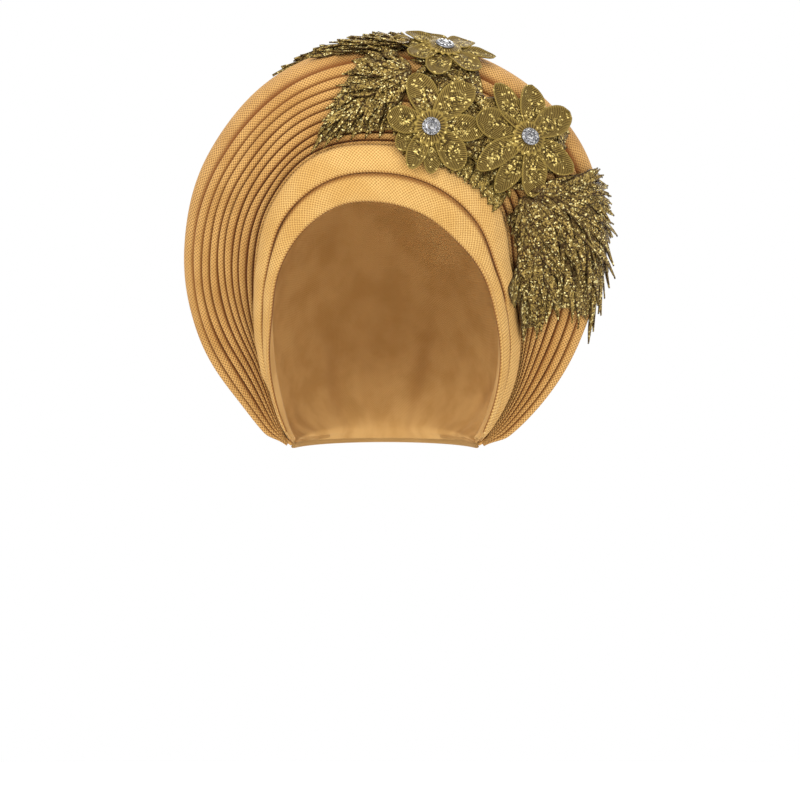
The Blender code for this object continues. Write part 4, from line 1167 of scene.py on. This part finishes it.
def build_edging():
    """Short leaves in pairs along the band's top edge, between the two lower flowers."""
    places = np.linspace(0, 1, 22)
    angles = np.radians(7.0 + 42.0 * places)
    low = band_curve(angles)[:, 0] / RIM_RISE
    draw = np.random.default_rng(LACE_SEED)
    lean = np.where(np.arange(len(places)) % 2 == 0, 3.2, -2.2) + draw.random(len(places))
    degrees = np.degrees(angles)
    feet = by_turn(joined(degrees, low + 0.045))
    tips = by_turn(joined(degrees + lean, low - 0.030 - 0.012 * draw.random(len(places))))
    more = by_turn(joined(degrees - 0.4 * lean, low + 0.060))
    bends = 0.001 * (draw.random(2 * len(places)) - 0.5)
    rolls = 0.4 * (draw.random(2 * len(places)) - 0.5)
    leaf_spray("lace_edging_leaves", "lace_edging", np.concatenate([feet, feet]),
               np.concatenate([tips, more]), 0.0026, lace_height(1) + 0.0006, bends, 0.0006, rolls,
               EDGING_LACE)


# The lace under the flowers lies inside this edge, by angle in degrees and radius.
GROUND_EDGE = np.array((
    # angle, radius
    (8.0, 0.640), (18.0, 0.635), (27.0, 0.632), (36.0, 0.630), (45.0, 0.630), (50.5, 0.665), (51.0, 0.760),
    (51.5, 0.850), (48.0, 0.940), (40.0, 0.950), (32.0, 0.905), (26.0, 0.850), (21.5, 0.945), (14.0, 0.985),
    (8.0, 0.965), (8.5, 0.880), (9.5, 0.800), (8.5, 0.720),
))
GROUND_CENTRE = (28.0, 0.780)
# Its leaves' places lie this far apart, as (angle, turn).
GROUND_STEP = np.radians([3.4, 5.4])


def inside(places, edge):
    """Which places lie inside a closed edge, by how often a line from each crosses it."""
    x, y = places[:, 0, None], places[:, 1, None]
    after = np.roll(edge, -1, axis=0)
    crosses = (edge[:, 1] > y) != (after[:, 1] > y)
    rise = np.where(after[:, 1] == edge[:, 1], 1e-9, after[:, 1] - edge[:, 1])
    at = edge[:, 0] + (y - edge[:, 1]) / rise * (after[:, 0] - edge[:, 0])
    return (crosses & (x < at)).sum(axis=1) % 2 == 1


def build_ground():
    """The lace under and between the flowers: broad and narrow leaves on an uneven grid of places inside its
    edge, each turned its own way."""
    draw = np.random.default_rng(LACE_SEED + 1)
    edge = by_turn(GROUND_EDGE)
    low, high = edge.min(axis=0), edge.max(axis=0)
    sides = (np.arange(low[i], high[i] + GROUND_STEP[i], GROUND_STEP[i]) for i in (0, 1))
    places = np.stack(np.meshgrid(*sides), axis=-1).reshape(-1, 2)
    places = places + GROUND_STEP * (draw.random(places.shape) - 0.5)
    places = places[inside(places, edge)]
    count = len(places)
    heading = 2 * np.pi * draw.random(count)
    length = 0.0050 + 0.0030 * draw.random(count)
    arm = joined(np.sin(heading), np.cos(heading)) * length[:, None] / scale_at(places)
    widths = 0.0018 + 0.0018 * draw.random(count)
    heights = lace_height(1) + 0.0005 + 0.0014 * draw.random(count)
    bends = 0.002 * (draw.random(count) - 0.5)
    lifts = 0.0012 * draw.random(count)
    rolls = 0.6 * (draw.random(count) - 0.5)
    leaf_spray("lace_ground_leaves", "lace_ground", places - arm, places + arm, widths, heights, bends,
               lifts, rolls)
    closed_edge = np.concatenate([edge, edge[:1]])
    net_bed("lace_ground_net", "lace_ground", by_turn([GROUND_CENTRE])[0], closed_edge, 0.97)


# Flowers

# Centre by angle in degrees and radius share, tier, and how far its stones' setting stands off its petals.
FLOWERS = {
    # angle, radius, tier, stand-off
    "front": (15.0, 0.677, 2, 0.0010),
    "right": (41.7, 0.812, 2, 0.0014),
    "top": (13.2, 0.965, 2, 0.0007),
}
# Radius of a flower's middle, which covers the petals' feet, and where the petals start.
FLOWER_EYE = 0.0095
PETAL_FOOT = 0.0022
# Petals of each flower, clockwise in front: heading in degrees, length, width and lift of the tip in mm.
PETALS = {
    # heading, length, width, lift
    "front": ((-10, 31, 15, 1.5), (37, 33, 15, 1.5), (86, 29, 14, 2.5), (130, 30, 15, 2.0),
              (172, 24, 12, 1.0), (214, 24, 13, 2.0), (250, 23, 12, 1.5), (288, 25, 14, 2.0)),
    "right": ((-66, 33, 16, 3.0), (-113, 33, 15, 2.5), (-155, 33, 15, 2.0), (162, 33, 15, 2.0),
              (114, 31, 15, 3.5), (52, 32, 15, 3.5), (-27, 33, 14, 3.0), (12, 31, 14, 3.0)),
    "top": ((-5, 27, 14, 1.5), (40, 27, 14, 2.0), (88, 29, 13, 2.5), (140, 28, 15, 2.5), (197, 29, 15, 2.5),
            (240, 26, 13, 2.0), (278, 29, 13, 2.5), (318, 26, 13, 1.5)),
}


def build_flower(name):
    """A flower's petals. A petal is broad and rounded, its half width a sine of the way along it to a low
    power, with a raised stitched rim, a hollow on each side of its middle line, and its tip lifted."""
    angle, radius, tier, _ = FLOWERS[name]
    centre = by_turn([(angle, radius)])[0]
    scale = scale_at(centre)
    number = np.arange(len(PETALS[name]))[:, None, None]
    heading, length, width, lift = np.array(PETALS[name], float).T[:, :, None, None]
    heading = np.radians(heading) - centre[0]
    length, width, lift = length / 1000, width / 1000, lift / 1000
    way = np.linspace(0.0, 1.0, 22)[None, :, None]
    side = np.linspace(-1.0, 1.0, 15)[None, None, :]
    swell = np.sin(np.pi * (0.08 + 0.92 * way) ** 1.45).clip(0) ** 0.55
    out = PETAL_FOOT + (length - PETAL_FOOT) * way
    aside = 0.5 * width * swell * side
    place = centre + turned(aside, out, heading) / scale
    edge = np.maximum(np.abs(side) * np.ones_like(way), 1 - (1 - way) / 0.09)
    rim = 0.7 * ease_in(edge, 0.84, 0.93)
    hollow = -0.0008 * np.sin(np.pi * np.abs(side)) * np.sin(np.pi * way)
    wave = 0.0007 * np.sin(2 * np.pi * 1.5 * way + number) * side**2
    height = lace_height(tier) + 0.0009 * (number % 2) + lift * (way**2 + 0.35 * side**2 * way)
    points = lay(place[..., 0], place[..., 1], height + hollow + wave + 0.0005 * rim)
    patch = ease_in(way, 0.15, 0.35) * ease_in(1 - way, 0.18, 0.40) * ease_in(1 - np.abs(side), 0.25, 0.60)
    marks = {"rim": np.broadcast_to(rim, points.shape[:3]), "patch": np.broadcast_to(patch, points.shape[:3])}
    petals = new_piece(f"lace_flower_{name}", points, many_grids(*points.shape[:3]), PETAL_LACE,
                       f"flower_{name}", joined(aside, out), marks, closed=False)
    thicken(petals, 0.0007)

    around = np.linspace(0, 2 * np.pi, 145)[None, :]
    reach = np.linspace(0.10, 1.0, 9)[:, None] * FLOWER_EYE * (1 + 0.07 * np.cos(16 * around))
    place = centre + joined(reach * np.sin(around), reach * np.cos(around)) / scale
    dome = lace_height(tier) + 0.0024 - 0.0011 * (reach / FLOWER_EYE) ** 2
    points = lay(place[..., 0], place[..., 1], dome)
    rim = ease_in(reach / FLOWER_EYE, 0.80, 0.95)
    eye = new_piece(f"lace_flower_eye_{name}", points, quads_of(numbered(*points.shape[:2])), PETAL_LACE,
                    f"flower_{name}", joined(0 * reach, 0.6 * FLOWER_EYE * around),
                    {"rim": rim, "patch": 0 * rim}, closed=False)
    thicken(eye, 0.0006)


# Rhinestones

CLUSTER_RADIUS = 0.0054
RING_RADIUS = CLUSTER_RADIUS - 0.00125
RING_STONES = 12
# Rings of a cut stone from its table down: radius and height as shares of its radius, and turn in sides.
STONE_RINGS = (
    # radius, height, turn
    (0.55, 0.62, 0.0),
    (1.0, 0.22, 0.5),
    (1.0, -0.35, 0.5),
)
# Section of the setting: radius as a share of the cluster's, and height in metres.
SETTING_SECTION = np.array((
    # radius, height
    (0.0, 0.0), (0.80, 0.0), (0.97, 0.00025), (1.0, 0.0007), (0.99, 0.0013), (0.93, 0.00155),
    (0.80, 0.0014), (0.50, 0.0013), (0.44, 0.0016), (0.38, 0.0013), (0.0, 0.0012),
))
SETTING_SIDES = 72


def stone_mesh(x, y, base, radius):
    """Points and faces of one cut stone: a table of eight sides, crown facets down to a girdle of eight
    turned by half a side, and the girdle's wall down into the setting."""
    turn = np.arange(8) * math.pi / 4
    points = []
    for share, height, sides in STONE_RINGS:
        around = turn + sides * math.pi / 4
        points.append(joined(x + radius * share * np.cos(around), y + radius * share * np.sin(around),
                             base + radius * height))
    faces = [list(range(8)), list(range(23, 15, -1))]
    for side in range(8):
        after = (side + 1) % 8
        faces += [[side, 8 + side, after], [after, 8 + side, 8 + after],
                  [8 + side, 16 + side, 16 + after, 8 + after]]
    return np.concatenate(points), faces


def build_stones(name):
    """The cluster: a stone in the middle, a ring of smaller ones, and a dished setting with a beaded rim."""
    angle, radius, tier, stand_off = FLOWERS[name]
    node = f"rhinestones_{name}"
    centre = by_turn([(angle, radius)])
    flat, normal = fan_profile(centre[:, 0], centre[:, 1])
    place = in_space(centre[:, 0], flat + normal * (lace_height(tier) + PETAL_WALL + stand_off))[0]
    out = in_space(centre[:, 0], normal)[0] + np.array([0.0, 0.0, FAN_CENTRE_DROP])
    facing = np.array(Vector(out).to_track_quat("Z", "Y").to_matrix())
    spots = [(0.0, 0.0, 0.0012, 0.0024)]
    for around in 2 * np.pi * np.arange(RING_STONES) / RING_STONES:
        spots.append((RING_RADIUS * math.cos(around), RING_RADIUS * math.sin(around), 0.0014, 0.00112))
    points, faces = [], []
    for number, spot in enumerate(spots):
        some, corners = stone_mesh(*spot)
        points.append(some)
        faces += [[number * len(some) + c for c in corner] for corner in corners]
    points = np.concatenate(points) @ facing.T + place
    new_piece(f"{node}_stones", points, faces, CUT_STONE, node, flat=True)

    share, height = SETTING_SECTION[:, :1], SETTING_SECTION[:, 1:]
    turn = 2 * np.pi * np.arange(SETTING_SIDES) / SETTING_SIDES
    bead = 1 + 0.025 * np.sin(24 * turn)[None, :] * (np.abs(share - 0.97) < 0.05)
    reach = CLUSTER_RADIUS * share.clip(0.02) * bead
    rings = joined(reach * np.cos(turn), reach * np.sin(turn), height)
    index = numbered(*reach.shape)
    faces = quads_of(np.concatenate([index, index[:, :1]], axis=1)) + [index[0].tolist(), index[-1].tolist()]
    new_piece(f"{node}_setting", rings.reshape(-1, 3) @ facing.T + place, faces, SETTING, node)


# Camera, light and floor

FLOOR_RADIUS = 2.5
FLOOR_SIDES = 64
FLOOR_Z = -0.42
METRES_PER_PIXEL = 0.00058
PHOTO_SIZE = 800
CAMERA_DISTANCE = 9.0
SENSOR = 0.036
CENTRE_PIXEL = (385, 140)
MATCH_PLANE_Y = -0.03


def build_camera():
    """Level with the middle of the frame and straight on, with the frame's width at the middle of the tie."""
    data = bpy.data.cameras.new("camera")
    data.sensor_width = 1000 * SENSOR
    data.lens = 1000 * SENSOR * CAMERA_DISTANCE / (PHOTO_SIZE * METRES_PER_PIXEL)
    data.clip_end = 20
    camera = bpy.data.objects.new("camera", data)
    bpy.context.scene.collection.objects.link(camera)
    x = (PHOTO_SIZE / 2 - CENTRE_PIXEL[0]) * METRES_PER_PIXEL
    z = (CENTRE_PIXEL[1] - PHOTO_SIZE / 2) * METRES_PER_PIXEL
    camera.location = (x, MATCH_PLANE_Y - CAMERA_DISTANCE, z)
    camera.rotation_euler = (math.pi / 2, 0, 0)
    bpy.context.scene.camera = camera


def build_light(name, place, size, power):
    """A soft square lamp that faces the middle of the tie."""
    data = bpy.data.lights.new(name, "AREA")
    data.size = size
    data.energy = power
    lamp = bpy.data.objects.new(name, data)
    lamp.location = place
    lamp.rotation_euler = (Vector((0, 0, -0.07)) - Vector(place)).to_track_quat("-Z", "Y").to_euler()
    bpy.context.scene.collection.objects.link(lamp)


def build_studio():
    """A round pale floor below the tie, four soft lamps and a white world."""
    turn = 2 * np.pi * np.arange(FLOOR_SIDES) / FLOOR_SIDES
    rim = joined(FLOOR_RADIUS * np.cos(turn), FLOOR_RADIUS * np.sin(turn), FLOOR_Z)
    mesh = bpy.data.meshes.new("floor")
    mesh.from_pydata(rim.tolist(), [], [list(range(FLOOR_SIDES))])
    mesh.materials.append(Finish("floor", 0.9).done((0.93, 0.93, 0.93, 1)))
    floor = bpy.data.objects.new("floor", mesh)
    bpy.context.scene.collection.objects.link(floor)
    build_light("key lamp", (-0.9, -2.2, 1.3), 1.2, 40)
    build_light("fill lamp", (1.4, -2.0, 0.4), 1.4, 14)
    build_light("top lamp", (0.1, -0.3, 1.9), 1.0, 12)
    build_light("back lamp", (0.4, 2.2, 1.4), 1.4, 16)
    world = bpy.data.worlds.new("studio")
    world.use_nodes = True
    background = world.node_tree.nodes["Background"]
    background.inputs[0].default_value = (1.0, 1.0, 1.0, 1.0)
    background.inputs[1].default_value = 1.0
    bpy.context.scene.world = world
    bpy.context.scene.view_settings.view_transform = "Standard"


build_camera()
build_studio()
build_nape_band()
build_cap()
build_bands()
build_fan()
build_wrap()
for spray in SPRAYS:
    build_spray(spray)
build_edging()
build_ground()
for flower in FLOWERS:
    build_flower(flower)
    build_stones(flower)
